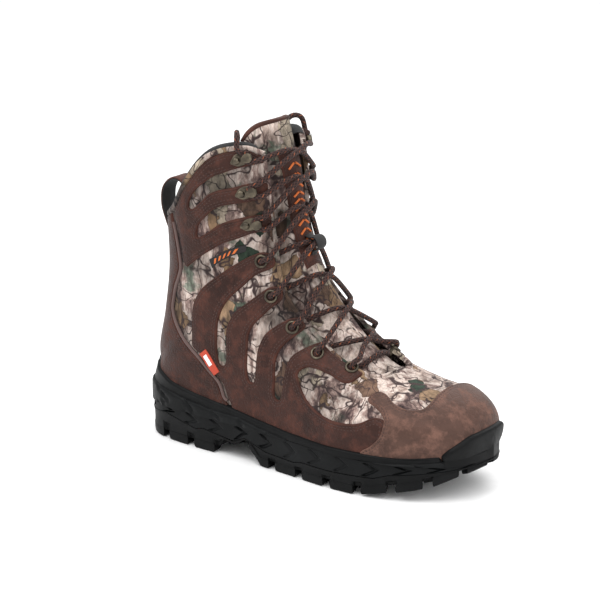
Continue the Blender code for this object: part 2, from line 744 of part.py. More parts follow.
def make_tongue():
    tongue_solid("tongue", CAMO, TONGUE_STATIONS, tongue_reach, -5.0, 0.0)
    tongue_solid("tongue_strip", BROWN, STRIP_STATIONS, lambda station: 0.085, 0.3, 1.6, count=3)
    flap = tongue_solid("tongue_top_flap", CAMO, FLAP_STATIONS, lambda station: 0.25, -5.0, 0.0)
    hinge = bpy.data.objects.new("tongue_flap_hinge", None)
    BOOT.objects.link(hinge)
    hinge.location = place((HINGE_FLAP[0], 0, HINGE_FLAP[1]))
    flap.parent = hinge
    flap.location = [-value for value in hinge.location]


def make_gussets():
    """Thin bellows that close the gap between the tongue's edge and the bootie."""
    for name, side in SIDES.items():
        rails = []
        for station in TONGUE_STATIONS[2:-1]:
            low = tongue_reach(station) + 0.008
            throat = from_table(THROAT, station)
            high = throat + (1 - throat) * COLUMNS[3] - 0.02
            inner = tongue_depth(station, low) + 2.5
            ring = []
            for share, depth in ((low, inner), (high, 3.0), (high, 4.2), (low, inner + 1.2)):
                ring.append(off_upper(station, share, side, -depth))
            rails.append(ring)
        band(f"gusset_{name}", rails, LINING)


# ---------------------------------------------------------------- lacing hardware


def drill(spot, side, radius, targets, name):
    """One round hole through the pieces that lie at a spot."""
    centre, normal = on_side(*spot, side)
    cutter = cylinder_cutter(name, centre + normal * 2, normal, radius, 16)
    for target in targets:
        boolean(bpy.data.objects[target], "DIFFERENCE", cutter)


def make_eyelets():
    flange, bore = EYELET_FLANGE, EYELET_BORE
    profile = [
        (bore, 5.0), (flange - 0.4, 4.9), (flange, 4.2), (bore + 0.7, 4.2),
        (bore + 0.7, -1.0), (flange - 0.6, -1.0), (flange - 0.6, -1.6), (bore, -1.6),
    ]
    for name, side in SIDES.items():
        for number, spot in enumerate(EYELET_SPOTS, 1):
            centre, normal = on_side(*spot, side)
            turned(f"eyelet_{name}_{number}", profile, BRASS, centre, normal, steps=8)
            targets = [f"quarter_fabric_{name}", f"lower_overlay_{name}"]
            drill(spot, side, bore + 1.1, targets, f"eyelet_hole_{name}_{number}")


def hook_frame(number, side):
    """(post, towards the throat, up the shaft, outwards) of one hook."""
    rivet, tip = HOOK_SPOTS[number]
    foot, _ = on_side(*rivet, side)
    post, normal = on_side(*tip, side)
    inward = post - foot
    inward -= normal * (inward @ normal)
    inward /= np.linalg.norm(inward)
    up = np.cross(normal, inward)
    if up[2] < 0:
        up = -up
    return post, inward, up, normal


def make_hooks():
    rivet_profile = [
        (0, 6.1), (1.6, 5.9), (3.0, 5.0), (1.5, 5.0), (1.5, -1.2), (3.2, -1.2), (3.2, -1.8), (0, -1.8),
    ]
    for name, side in SIDES.items():
        for number in range(len(HOOK_SPOTS)):
            post, inward, up, normal = hook_frame(number, side)

            def at(along, across, height):
                return post + along * inward + across * up + height * normal

            label = f"{name}_{number + 1}"
            base = [
                (1.5, -2.0), (1.5, 2.0), (-4, 3.2), (-8.5, 4.7), (-12.5, 4.6), (-15.4, 2.4),
                (-15.4, -2.4), (-12.5, -4.6), (-8.5, -4.7), (-4, -3.2),
            ]
            plate = plate_solid(f"hook_{label}", [[at(a, b, h) for a, b in base] for h in (3.9, 4.7)])
            upright = [(-2, 4.3), (2, 4.3), (2, 10.4), (-2, 10.4)]
            arm = [[at(a, b, h) for b, h in upright] for a in (1.4, 0.5)]
            bend = plate_solid(f"hook_bend_{label}", arm, CUTTERS)
            lip_outline = [(1.0, -2.0), (1.0, 2.0), (-4, 2.9), (-8, 1.6), (-8, -1.6), (-4, -2.9)]
            layers = [[at(a, b, h) for a, b in lip_outline] for h in (9.7, 10.5)]
            lip = plate_solid(f"hook_lip_{label}", layers, CUTTERS)
            boolean(plate, "UNION", bend)
            boolean(plate, "UNION", lip)
            foot = at(-11, 0, 0)
            centre, _ = on_side(foot[0], foot[2], side)
            shift = (centre - foot) @ normal
            hole = cylinder_cutter(f"rivet_hole_{label}", foot + 2 * normal, normal, 1.9, 16)
            for target in (f"hook_{label}", f"quarter_fabric_{name}", f"upper_overlay_{name}"):
                boolean(bpy.data.objects[target], "DIFFERENCE", hole)
            low = [(r, h + (shift if h < 0 else 0)) for r, h in rivet_profile]
            turned(f"rivet_{label}", low, BRASS, foot, normal, steps=8)


def plate_solid(name, rings, collection=None, finish=None):
    """Closed solid between two matching rings of drawn points."""
    def build(shape):
        low, high = ([shape.verts.new(place(point)) for point in ring] for ring in rings)
        shape.faces.new(low)
        shape.faces.new(high[::-1])
        for k in range(len(low)):
            n = (k + 1) % len(low)
            shape.faces.new((low[k], high[k], high[n], low[n]))
        bmesh.ops.recalc_face_normals(shape, faces=shape.faces)
    made = add_object(name, mesh_from(name, build), finish or BRASS, collection)
    if collection:
        made.hide_render = True
        made.display_type = "WIRE"
    return made


# ---------------------------------------------------------------- lace


def eyelet_frame(number, side):
    """(hole, towards the throat, outwards) of one eyelet."""
    centre, normal = on_side(*EYELET_SPOTS[number], side)
    inward = np.array([0.0, -side, 0.0])
    inward -= normal * (inward @ normal)
    return centre, inward / np.linalg.norm(inward), normal


LACE_ROWS = len(EYELET_SPOTS) + len(HOOK_SPOTS)
KEEPER_STATION = 8.85
BOTTOM_BAR = ((0.10, -1, -1.0), (0.0, 1, 1.1), (0.10, 1, -1.0))  # (share, side, height)


def rise_from_eyelet(number, side):
    """Up through an eyelet and over its flange towards the throat."""
    hole, inward, normal = eyelet_frame(number, side)
    return [
        hole - 4.3 * normal + 8.5 * inward,
        hole - 4.3 * normal + 4.2 * inward,
        hole - 3.2 * normal + 0.7 * inward,
        hole - 0.5 * normal,
        hole + 4.2 * normal,
        hole + 6.9 * normal + 0.7 * inward,
        hole + 7.9 * normal + 4.2 * inward,
        hole + 7.4 * normal + 9.0 * inward,
    ]


def round_hook(number, side):
    """Round the back of a hook's post, coming from below and leaving above."""
    post, inward, up, normal = hook_frame(number, side)
    height = HOOK_HEIGHT * normal
    return [
        post + height + 6.0 * inward - 5.2 * up,
        post + height + 0.5 * inward - 4.6 * up,
        post + height - 3.4 * inward - 3.2 * up,
        post + height - 4.5 * inward,
        post + height - 3.4 * inward + 3.2 * up,
        post + height + 0.5 * inward + 4.6 * up,
        post + height + 6.0 * inward + 5.2 * up,
    ]


def crossing(row, side, over):
    """From one row to the next over the tongue, above or below the other lace."""
    start, end = ROW_STATIONS[row], ROW_STATIONS[row + 1]
    height = 7.6 if over else 2.7
    points = []
    for part, share, lift in ((0.34, 0.085, height), (0.5, 0.0, height), (0.66, 0.085, height)):
        station = start + (end - start) * part
        way = side if part < 0.5 else -side
        if part > 0.5:
            lift = min(lift, 3.6) if row + 1 < len(EYELET_SPOTS) else max(lift, 6.2)
        points.append(off_upper(station, share, way, lift))
    return points


def lace_route(first_side):
    """One half of the lace, from the bottom bar's middle to the top hook."""
    side, points = first_side, []
    for row in range(LACE_ROWS):
        if row < len(EYELET_SPOTS):
            points += rise_from_eyelet(row, side)
        else:
            points += round_hook(row - len(EYELET_SPOTS), side)
        if row < LACE_ROWS - 1:
            points += crossing(row, side, over=(row + (first_side > 0)) % 2 == 0)
            side = -side
    return points


def make_lace():
    bar = [off_upper(ROW_STATIONS[0], share, way, height) for share, way, height in BOTTOM_BAR]
    whole = lace_route(-1)[::-1] + bar + lace_route(1)
    tube("lace", whole[1:-1], LACE_RADIUS, LACE, bevel_resolution=1, tolerance=0.55)


# ---------------------------------------------------------------- straps and labels


def strap(name, path, width, thickness, finish):
    """A flat strap in the boot's middle plane, along a path of (X, Z)."""
    dense = smooth(path, np.linspace(0, len(path) - 1, 2 * len(path) - 1))
    ahead = np.gradient(dense, axis=0)
    ahead /= np.linalg.norm(ahead, axis=1, keepdims=True)
    rails = []
    for (x, z), (dx, dz) in zip(dense, ahead):
        ring = []
        for across, out in ((-1, -1), (1, -1), (1, 1), (-1, 1)):
            shift = out * thickness / 2
            ring.append(np.array([x - dz * shift, across * width / 2, z + dx * shift]))
        rails.append(ring)
    return band(name, rails, finish)


PULL_LOOP = [
    (17.9, 136), (17.7, 150), (15, 163), (10.5, 174), (7, 185), (7.5, 197), (12.5, 205), (20, 208.5),
    (27, 206), (31.3, 199), (32.4, 190), (32.6, 180),
]


def make_straps():
    strap("pull_loop", PULL_LOOP, 17.0, 2.0, BROWN)
    rails = []
    for along, lift in ((-13, 0.3), (-9.5, 3.5), (-7.5, 9.6), (0, 11.6), (7.5, 9.6), (9.5, 3.5), (13, 0.3)):
        station = KEEPER_STATION + along / 32.0
        ring = []
        for share, side, extra in ((0.03, -1, 0), (0.03, 1, 0), (0.03, 1, 1.2), (0.03, -1, 1.2)):
            ring.append(off_upper(station, share, side, lift + extra))
        rails.append(ring)
    band("lace_keeper", rails, BROWN)


def label(name, pairs, low, high, finish):
    """A thin label that follows the outer side: pairs of side-view (X, Z) across it, end to end."""
    rails = []
    for one, other in pairs:
        corners = ((one, low), (other, low), (other, high), (one, high))
        rails.append([above_side(*spot, SIDES["lateral"], height) for spot, height in corners])
    band(name, rails, finish)


def make_labels():
    patch = [
        ((84, 153), (82, 160)), ((88, 157), (87, 163)), ((92, 160), (92, 166)),
        ((96, 162.5), (97, 169)), ((101, 165), (102, 171.5)), ((110, 168.5), (110, 173.5)),
    ]
    label("side_patch", patch, 2.3, 3.4, RUBBER)
    tab = [((79, 86), (73, 81)), ((83, 82), (77, 77)), ((86, 78), (80, 73)), ((92, 70), (87, 66))]
    label("seam_tab", tab, 4.1, 5.1, ORANGE)


# ---------------------------------------------------------------- lace tails

TAIL_PLACES = [(14.0, 0.365), (13.2, 0.385), (12.4, 0.39), (11.4, 0.40), (10.4, 0.42), (9.5, 0.44)]


def make_tails():
    """Each lace end passes behind its top hook, over the collar and down inside the shaft."""
    for name, side in SIDES.items():
        post, inward, up, normal = hook_frame(2, side)
        x, z = post[0] - 6.5, post[2]
        route = [
            post + HOOK_HEIGHT * normal - 4.5 * inward + 5.0 * up,
            above_side(x - 0.6, z + 4.5, side, 7.4),
        ]
        rim, outward = on_side(x - 1.0, z + 8.0, side)
        for turn in range(0, 181, 36):
            angle = math.radians(turn)
            lift = np.array([0, 0, 2 + 8.1 * math.sin(angle)])
            route.append(rim + outward * (-1.3 + 8.1 * math.cos(angle)) + lift)
        for station, share in TAIL_PLACES:
            route.append(off_upper(station, share, side, -9.8))
        tube(f"lace_tail_{name}", route, LACE_RADIUS, LACE)
        end, before = route[-1], route[-2]
        down = (end - before) / np.linalg.norm(end - before)
        sleeve = [(0, 22), (1.3, 22), (1.6, 20), (1.6, 0), (0, 0)]
        turned(f"aglet_{name}", sleeve, RUBBER, end + down * GAP, down, steps=8)


def make_boot():
    make_sole()
    make_footbed()
    make_shell()
    make_leather()
    make_piping()
    make_tongue()
    make_gussets()
    make_eyelets()
    make_hooks()
    make_lace()
    make_straps()
    make_labels()
    make_tails()


make_boot()
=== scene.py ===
"""Insulated hunting boot, right foot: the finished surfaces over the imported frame.

Drawn points are in millimetres with the heel's back edge at X = 0, the toe along +X, the outer side
at -Y and the ground at Z = 0, as in part.py. metres() turns them into the frame's own metres.
"""

import math

import bmesh
import bpy
import numpy as np
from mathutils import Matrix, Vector


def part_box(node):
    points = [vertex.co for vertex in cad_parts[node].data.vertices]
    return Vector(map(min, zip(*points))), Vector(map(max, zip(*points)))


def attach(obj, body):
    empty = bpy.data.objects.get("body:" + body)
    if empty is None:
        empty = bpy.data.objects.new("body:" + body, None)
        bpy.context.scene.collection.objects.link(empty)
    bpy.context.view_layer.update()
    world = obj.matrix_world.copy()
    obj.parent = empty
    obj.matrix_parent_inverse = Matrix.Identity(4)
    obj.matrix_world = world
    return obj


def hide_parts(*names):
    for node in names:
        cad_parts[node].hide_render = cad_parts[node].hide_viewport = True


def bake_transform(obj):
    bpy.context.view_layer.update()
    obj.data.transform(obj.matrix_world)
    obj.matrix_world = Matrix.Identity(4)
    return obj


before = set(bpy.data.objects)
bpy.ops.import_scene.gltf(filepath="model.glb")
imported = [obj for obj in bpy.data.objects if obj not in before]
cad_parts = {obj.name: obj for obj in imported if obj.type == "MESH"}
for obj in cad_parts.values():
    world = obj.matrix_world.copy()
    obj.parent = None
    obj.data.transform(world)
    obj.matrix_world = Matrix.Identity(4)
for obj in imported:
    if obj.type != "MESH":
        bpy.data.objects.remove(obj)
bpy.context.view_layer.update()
FRAME = np.array([155.0, -2.4, 0.0])  # the drawn point that the frame's origin stands under
BOOT, FLAP, FOOTBED = "boot", "tongue_flap", "footbed"

# Cross sections from toe to collar, as part.py has them.
STATIONS = np.array([
    (303, 44, 303, 38, 8, 0, 0, 0.60, 2.0, 2.2),
    (301, 55, 297, 37, 8, 28, 19, 0.62, 2.0, 2.2),
    (293, 66, 284, 36, 8, 42, 29, 0.62, 2.0, 2.4),
    (275, 74, 262, 35, 7, 52, 37, 0.62, 2.1, 2.6),
    (248, 78, 233, 35, 6, 57, 42, 0.64, 2.1, 2.6),
    (221, 86, 203, 36, 5, 58, 45, 0.66, 2.0, 2.6),
    (195, 103, 168, 38, 4, 52, 44, 0.66, 1.9, 2.4),
    (172, 128, 125, 40, 3, 46, 43, 0.66, 1.9, 2.3),
    (155, 155, 80, 41, 1, 44, 42, 0.64, 1.9, 2.2),
    (146, 175, 42, 42, 0, 43, 42, 0.60, 1.9, 2.1),
    (141, 190, 18, 43, 0, 42, 42, 0.56, 1.9, 2.0),
    (138, 202, 9, 60, 0, 42, 42, 0.52, 1.9, 2.0),
    (136, 214, 16, 95, 0, 43, 43, 0.50, 1.9, 2.0),
    (133, 230, 23, 137, 0, 46, 46, 0.50, 2.0, 2.0),
    (128, 249, 23, 184, 0, 49, 49, 0.50, 2.0, 2.0),
    (123, 268, 20, 232, 0, 50, 50, 0.50, 2.0, 2.0),
    (118, 287, 17, 280, 0, 51, 51, 0.50, 2.0, 2.0),
], float)
HEEL_STATION = 11.0  # above it a section runs right round the heel
THROAT_END = 4.7  # the station where the throat's slot begins
TOP_STATION = 15.1
WHOLE = (0, TOP_STATION)
FEATHER = {
    -1: [(10, 0), (12, -14), (18, -26), (36, -36), (70, -39), (115, -41), (160, -46), (203, -52),
         (235, -51), (262, -44), (284, -31), (297, -16), (303, 8)],
    1: [(10, 0), (12, 14), (18, 25), (36, 33), (70, 36), (115, 36), (160, 41), (203, 47),
        (235, 47), (262, 43), (284, 35), (297, 24), (303, 8)],
}
THROAT = np.array([
    (0, 0), (4.70, 0), (4.74, 0.05), (4.85, 0.11), (5.05, 0.145), (5.4, 0.17), (6.0, 0.195),
    (6.9, 0.212), (7.5, 0.22), (8.1, 0.213), (8.9, 0.19), (9.9, 0.172), (12.7, 0.172), (15, 0.155),
])
COLLAR = np.array([
    (0.15, 13.95), (0.20, 14.40), (0.25, 14.60), (0.32, 14.72), (0.39, 14.77), (0.46, 14.67),
    (0.53, 14.45), (0.60, 14.23), (0.67, 13.97), (0.80, 13.95), (1.00, 14.10),
])
BOARD_TOP = 28.8

# Side-view outlines, as (X, Z), the same on both sides of the boot.
PIPING_LINE = [
    (103, 24), (102, 40), (96, 49), (92, 60), (82, 69), (73, 77), (58, 88), (48, 100), (43, 110),
    (44, 120), (47, 130), (52, 140), (55, 149), (54, 160), (51, 176), (48, 188), (43, 204),
]
UPPER_COMB = [
    (48, 204), (51, 190), (54, 177), (57, 161), (59, 150), (64, 153), (77, 163), (86, 169),
    (93, 174), (103, 178), (114, 183), (124, 186), (128, 191), (126, 197), (118, 198), (105, 195),
    (93, 190), (85, 184), (78, 179), (73, 177), (75, 187), (82, 195), (88, 201), (96, 205),
    (104, 207), (114, 209), (123, 212), (126, 217), (123, 223), (114, 223), (104, 220), (93, 217),
    (85, 213), (79, 207), (71, 200), (67, 200), (68, 206), (73, 214), (82, 222), (90, 228),
    (97, 231), (104, 234), (114, 237), (122, 239), (125, 244), (121, 250), (113, 251), (102, 251),
    (91, 248), (80, 240), (71, 231), (62, 219), (54, 210),
]
LOWER_COMB = [  # it starts under the heel piping and ends under the toe cap
    (101.5, 24), (101.5, 42), (98, 50), (94, 61), (84, 70), (75, 79), (65, 85), (64, 92), (64, 106),
    (65, 118), (69, 128), (76, 137), (88, 147), (100, 156), (112, 164), (122, 168), (130, 165),
    (131, 157), (119, 150), (109, 140), (99, 130), (93, 121), (90, 112), (89, 102), (89, 86),
    (91, 76), (95, 75), (98, 80), (98, 93), (98, 105), (101, 114), (106, 121), (114, 128),
    (122, 135), (131, 142), (139, 141), (141, 133), (134, 126), (127, 118), (121, 111),
    (118, 103), (118, 91), (118, 72), (122, 66), (126, 71), (127, 90), (129, 99), (133, 107),
    (141, 114), (151, 120), (160, 119), (161, 112), (152, 103), (146, 95), (144, 86), (145, 73),
    (145, 61), (149, 57), (153, 62), (154, 76), (155, 86), (158, 93), (166, 99), (177, 104),
    (186, 101), (196, 95), (208, 91), (214, 87), (211, 80), (204, 79), (192, 83), (180, 86),
    (172, 86), (166, 81), (170, 73), (181, 62), (195, 56), (212, 54), (228, 56), (240, 61),
    (250, 59), (251, 50), (245, 38), (238, 32), (236, 24),
]
# The toe cap's outline: its side edge, its top edge on each side of the boot, and round past the toe.
CAP_SIDE = [(228, 24), (231, 35), (239, 41), (247, 50), (249, 58)]
CAP_TOP = {
    -1: [(245, 63), (237, 67), (229, 70), (232, 74), (240, 73), (250, 69), (260, 67), (268, 67)],
    1: [(248, 60), (254, 62), (260, 65)],
}
CAP_TOE = [(273, 70), (273, 90), (330, 90), (330, 15)]
RAND_TOP = [
    (-12, 66), (6, 63), (20, 58), (40, 52), (66, 47), (96, 43), (128, 38), (160, 35), (200, 34),
    (250, 35), (268, 37), (289, 40),
]
WRAP_TOP = [
    (-12, 47), (6, 46), (20, 45), (40, 44), (61, 40), (80, 37), (110, 36), (133, 32), (168, 28.5),
    (215, 28.5), (245, 29.5), (269, 31), (289, 33),
]
BUMPER_FRONT = [(287, 20), (287, 37), (291, 43), (297, 48), (303, 52), (325, 56), (325, 20)]
SOLE_OUTLINE = [
    (0, 0), (4, -20), (22, -37), (60, -44), (110, -47), (160, -53), (200, -58), (240, -57),
    (275, -46), (299, -25), (310, 5), (304, 30), (282, 45), (240, 53), (200, 53), (150, 45),
    (110, 42), (60, 41), (22, 35), (4, 20),
]
SOLE_TOP = 28.4
PARTING = [
    (-5, 22), (6, 20), (32, 22), (65, 16), (73, 18), (104, 14), (116, 19), (139, 13), (168, 12),
    (175, 14), (205, 14), (244, 16), (256, 20), (280, 23), (315, 27),
]
LUG_PITCH = 28.5
CHEVRON_PITCH = 26.0
SOLE_STEPS = 900
GROUND_LINE = [
    (-5, 9), (5, 3), (14, 0), (88, 0), (98, 12), (118, 13), (126, 7), (133, 0), (226, 0),
    (248, 4), (282, 11), (300, 19), (315, 25),
]
EYELET_SPOTS = [(204, 87), (177, 96), (153, 113), (133, 135), (122, 161)]
HOOK_SPOTS = [((110, 190), (119, 192.5)), ((107, 215), (117, 218.5)), ((103, 240), (113, 244.5))]
ROW_STATIONS = [5.45, 6.35, 7.25, 8.20, 9.55, 12.05, 13.20, 14.25]
KEEPER_STATION = 8.85
LACE_RADIUS = 2.1
EYELET_ROWS, HOOK_ROWS = 5, 3

# Sections of the small parts: (radius, height) for the turned ones, (along, lift) for the hook.
EYELET_LOOP = [
    (3.02, -3.9), (4.4, -3.9), (4.5, -3.5), (3.1, -2.8), (3.05, 2.0), (3.2, 4.6), (3.7, 5.15),
    (4.4, 5.3), (5.0, 5.05), (5.35, 4.5), (5.3, 3.7), (3.3, 3.6),
]
RIVET_DOME = [(0.01, 3.6), (2.9, 3.6), (3.0, 4.9), (2.7, 5.5), (1.9, 6.0), (0.9, 6.15), (0.01, 6.2)]
SLEEVE = [(0.01, 0.2), (1.9, 0.2), (2.05, 0.5), (2.0, 3), (1.6, 5), (1.55, 20), (1.3, 22), (0.01, 22.2)]
HOOK_LINE = [
    (-15.6, 3.9), (-11, 4.0), (-6, 4.0), (-1.6, 4.0), (0.3, 4.6), (1.35, 6.1), (1.5, 7.6), (0.9, 9.2),
    (-0.8, 10.0), (-3.4, 10.1), (-7.4, 10.2),
]
HOOK_WIDTHS = [0.8, 4.4, 4.9, 3.4, 2.2, 2.0, 2.0, 2.2, 3.2, 3.7, 1.8]
HOOK_GAUGE = 0.42
PULL_LOOP = [
    (17.9, 136), (17.7, 150), (15, 163), (10.5, 174), (7, 185), (7.5, 197), (12.5, 205), (20, 208.5),
    (27, 206), (31.3, 199), (32.4, 190), (32.6, 180),
]
SIDES = {"lateral": -1, "medial": 1}


# ---------------------------------------------------------------- camera, light and floor


def metres(point):
    return (np.asarray(point, float) - FRAME) * 0.001


def aim(made, azimuth, elevation, distance, target):
    """Puts a camera or lamp on a sphere round a drawn point, looking at it."""
    a, e = math.radians(azimuth), math.radians(elevation)
    back = Vector((math.sin(a) * math.cos(e), -math.cos(a) * math.cos(e), math.sin(e)))
    made.location = Vector(metres(target)) + back * distance
    made.rotation_euler = back.to_track_quat("Z", "Y").to_euler()
    bpy.context.scene.collection.objects.link(made)


def set_stage():
    camera = bpy.data.objects.new("camera", bpy.data.cameras.new("camera"))
    aim(camera, 35, 17, 1.9, (155, 0, 115))
    camera.data.lens = 145.8
    camera.data.sensor_width = 36
    camera.data.shift_x, camera.data.shift_y = -19 / 600, 16 / 600
    bpy.context.scene.camera = camera

    for name, azimuth, elevation, distance, size, power in (
        ("key", -20, 55, 1.6, 1.1, 13), ("fill", 75, 34, 1.6, 1.4, 10), ("top", 20, 86, 1.5, 1.6, 9),
        ("back", 190, 38, 1.8, 1.2, 9),
    ):
        light = bpy.data.lights.new(name, "AREA")
        light.size, light.energy = size, power
        aim(bpy.data.objects.new(name, light), azimuth, elevation, distance, (155, 0, 110))

    world = bpy.data.worlds.new("studio")
    world.use_nodes = True
    world.node_tree.nodes["Background"].inputs["Color"].default_value = (1, 1, 1, 1)
    world.node_tree.nodes["Background"].inputs["Strength"].default_value = 1.0
    bpy.context.scene.world = world
    bpy.context.scene.view_settings.view_transform = "Standard"

    floor = bpy.data.objects.new("floor", bpy.data.meshes.new("floor"))
    corners = [(-6, -6, -0.0004), (6, -6, -0.0004), (6, 6, -0.0004), (-6, 6, -0.0004)]
    floor.data.from_pydata(corners, [], [(0, 1, 2, 3)])
    bpy.context.scene.collection.objects.link(floor)
    floor.data.materials.append(plain("floor", (0.97, 0.97, 0.97), 0.6))


# ---------------------------------------------------------------- materials


class Shader:
    """A node tree with its Principled shader, built by short calls."""

    def __init__(self, name, roughness, metallic=0.0, **fixed):
        self.material = bpy.data.materials.new(name)
        self.material.use_nodes = True
        self.tree = self.material.node_tree
        self.out = self.tree.nodes["Principled BSDF"]
        self.out.inputs["Roughness"].default_value = roughness
        self.out.inputs["Metallic"].default_value = metallic
        for key, value in fixed.items():
            self.out.inputs[key.replace("_", " ")].default_value = value
        self.place = self.add("ShaderNodeTexCoord").outputs["Object"]

    def add(self, kind, inputs=None, **settings):
        made = self.tree.nodes.new(kind)
        for key, value in settings.items():
            setattr(made, key, value)
        for key, value in (inputs or {}).items():
            self.join(value, made.inputs[key])
        return made

    def join(self, value, socket):
        if isinstance(value, bpy.types.NodeSocket):
            self.tree.links.new(value, socket)
        elif hasattr(value, "__len__") and len(value) == 3 and socket.type == "RGBA":
            socket.default_value = (*value, 1)
        else:
            socket.default_value = value

    def math(self, operation, a, b=0.0):
        return self.add("ShaderNodeMath", {0: a, 1: b}, operation=operation).outputs[0]

    def vector(self, operation, a, b):
        return self.add("ShaderNodeVectorMath", {0: a, 1: b}, operation=operation).outputs

    def scaled(self, factors, vector=None):
        """Coordinates multiplied by three factors."""
        return self.vector("MULTIPLY", vector or self.place, factors)[0]

    def noise(self, scale, vector=None, detail=4.0, roughness=0.55):
        inputs = {"Vector": vector or self.place, "Scale": scale, "Detail": detail, "Roughness": roughness}
        return self.add("ShaderNodeTexNoise", inputs).outputs["Fac"]

    def cells(self, scale, vector=None, feature="F1", output="Distance"):
        inputs = {"Vector": vector or self.place, "Scale": scale}
        return self.add("ShaderNodeTexVoronoi", inputs, feature=feature).outputs[output]

    def ramp(self, value, stops, interpolation="LINEAR"):
        made = self.add("ShaderNodeValToRGB", {0: value})
        made.color_ramp.interpolation = interpolation
        elements = made.color_ramp.elements
        while len(elements) < len(stops):
            elements.new(0.5)
        for element, (position, colour) in zip(elements, stops):
            element.position = position
            element.color = (*np.broadcast_to(colour, 3).tolist(), 1)
        return made.outputs["Color"]

    def mix(self, share, first, second, blend="MIX"):
        made = self.add("ShaderNodeMix", data_type="RGBA", blend_type=blend)
        self.join(share, made.inputs[0])
        self.join(first, made.inputs[6])
        self.join(second, made.inputs[7])
        return made.outputs[2]

    def moved(self, scale, amount):
        """Coordinates pushed about by noise, so that shapes read from them get ragged edges."""
        inputs = {"Vector": self.place, "Scale": scale, "Detail": 3.0}
        noise = self.add("ShaderNodeTexNoise", inputs).outputs["Color"]
        centred = self.vector("SUBTRACT", noise, (0.5, 0.5, 0.5))[0]
        return self.vector("ADD", self.place, self.vector("MULTIPLY", centred, (amount,) * 3)[0])[0]

    def ridges(self, direction, scale):
        """Fine straight ridges across a direction, as woven threads show."""
        along = self.vector("DOT_PRODUCT", self.place, direction)["Value"]
        return self.math("SINE", self.math("MULTIPLY", along, scale))

    def colour(self, value):
        self.join(value, self.out.inputs["Base Color"])

    def rough(self, value, low, high):
        inputs = {"Value": value, "To Min": low, "To Max": high}
        self.join(self.add("ShaderNodeMapRange", inputs).outputs[0], self.out.inputs["Roughness"])

    def bump(self, *layers):
        """Bump from (height value, depth in metres) layers, one over the other."""
        normal = None
        for value, depth in layers:
            inputs = {"Height": value, "Distance": depth, "Strength": 1.0}
            if normal:
                inputs["Normal"] = normal
            normal = self.add("ShaderNodeBump", inputs).outputs[0]
        self.tree.links.new(normal, self.out.inputs["Normal"])


def plain(name, colour, roughness, metallic=0.0):
    """A plain surface with fine grain and slightly uneven colour."""
    shader = Shader(name, roughness, metallic)
    dark = tuple(channel * 0.86 for channel in colour)
    shader.colour(shader.mix(shader.noise(60.0), dark, colour))
    shader.bump((shader.noise(900.0), 0.00004))
    return shader.material


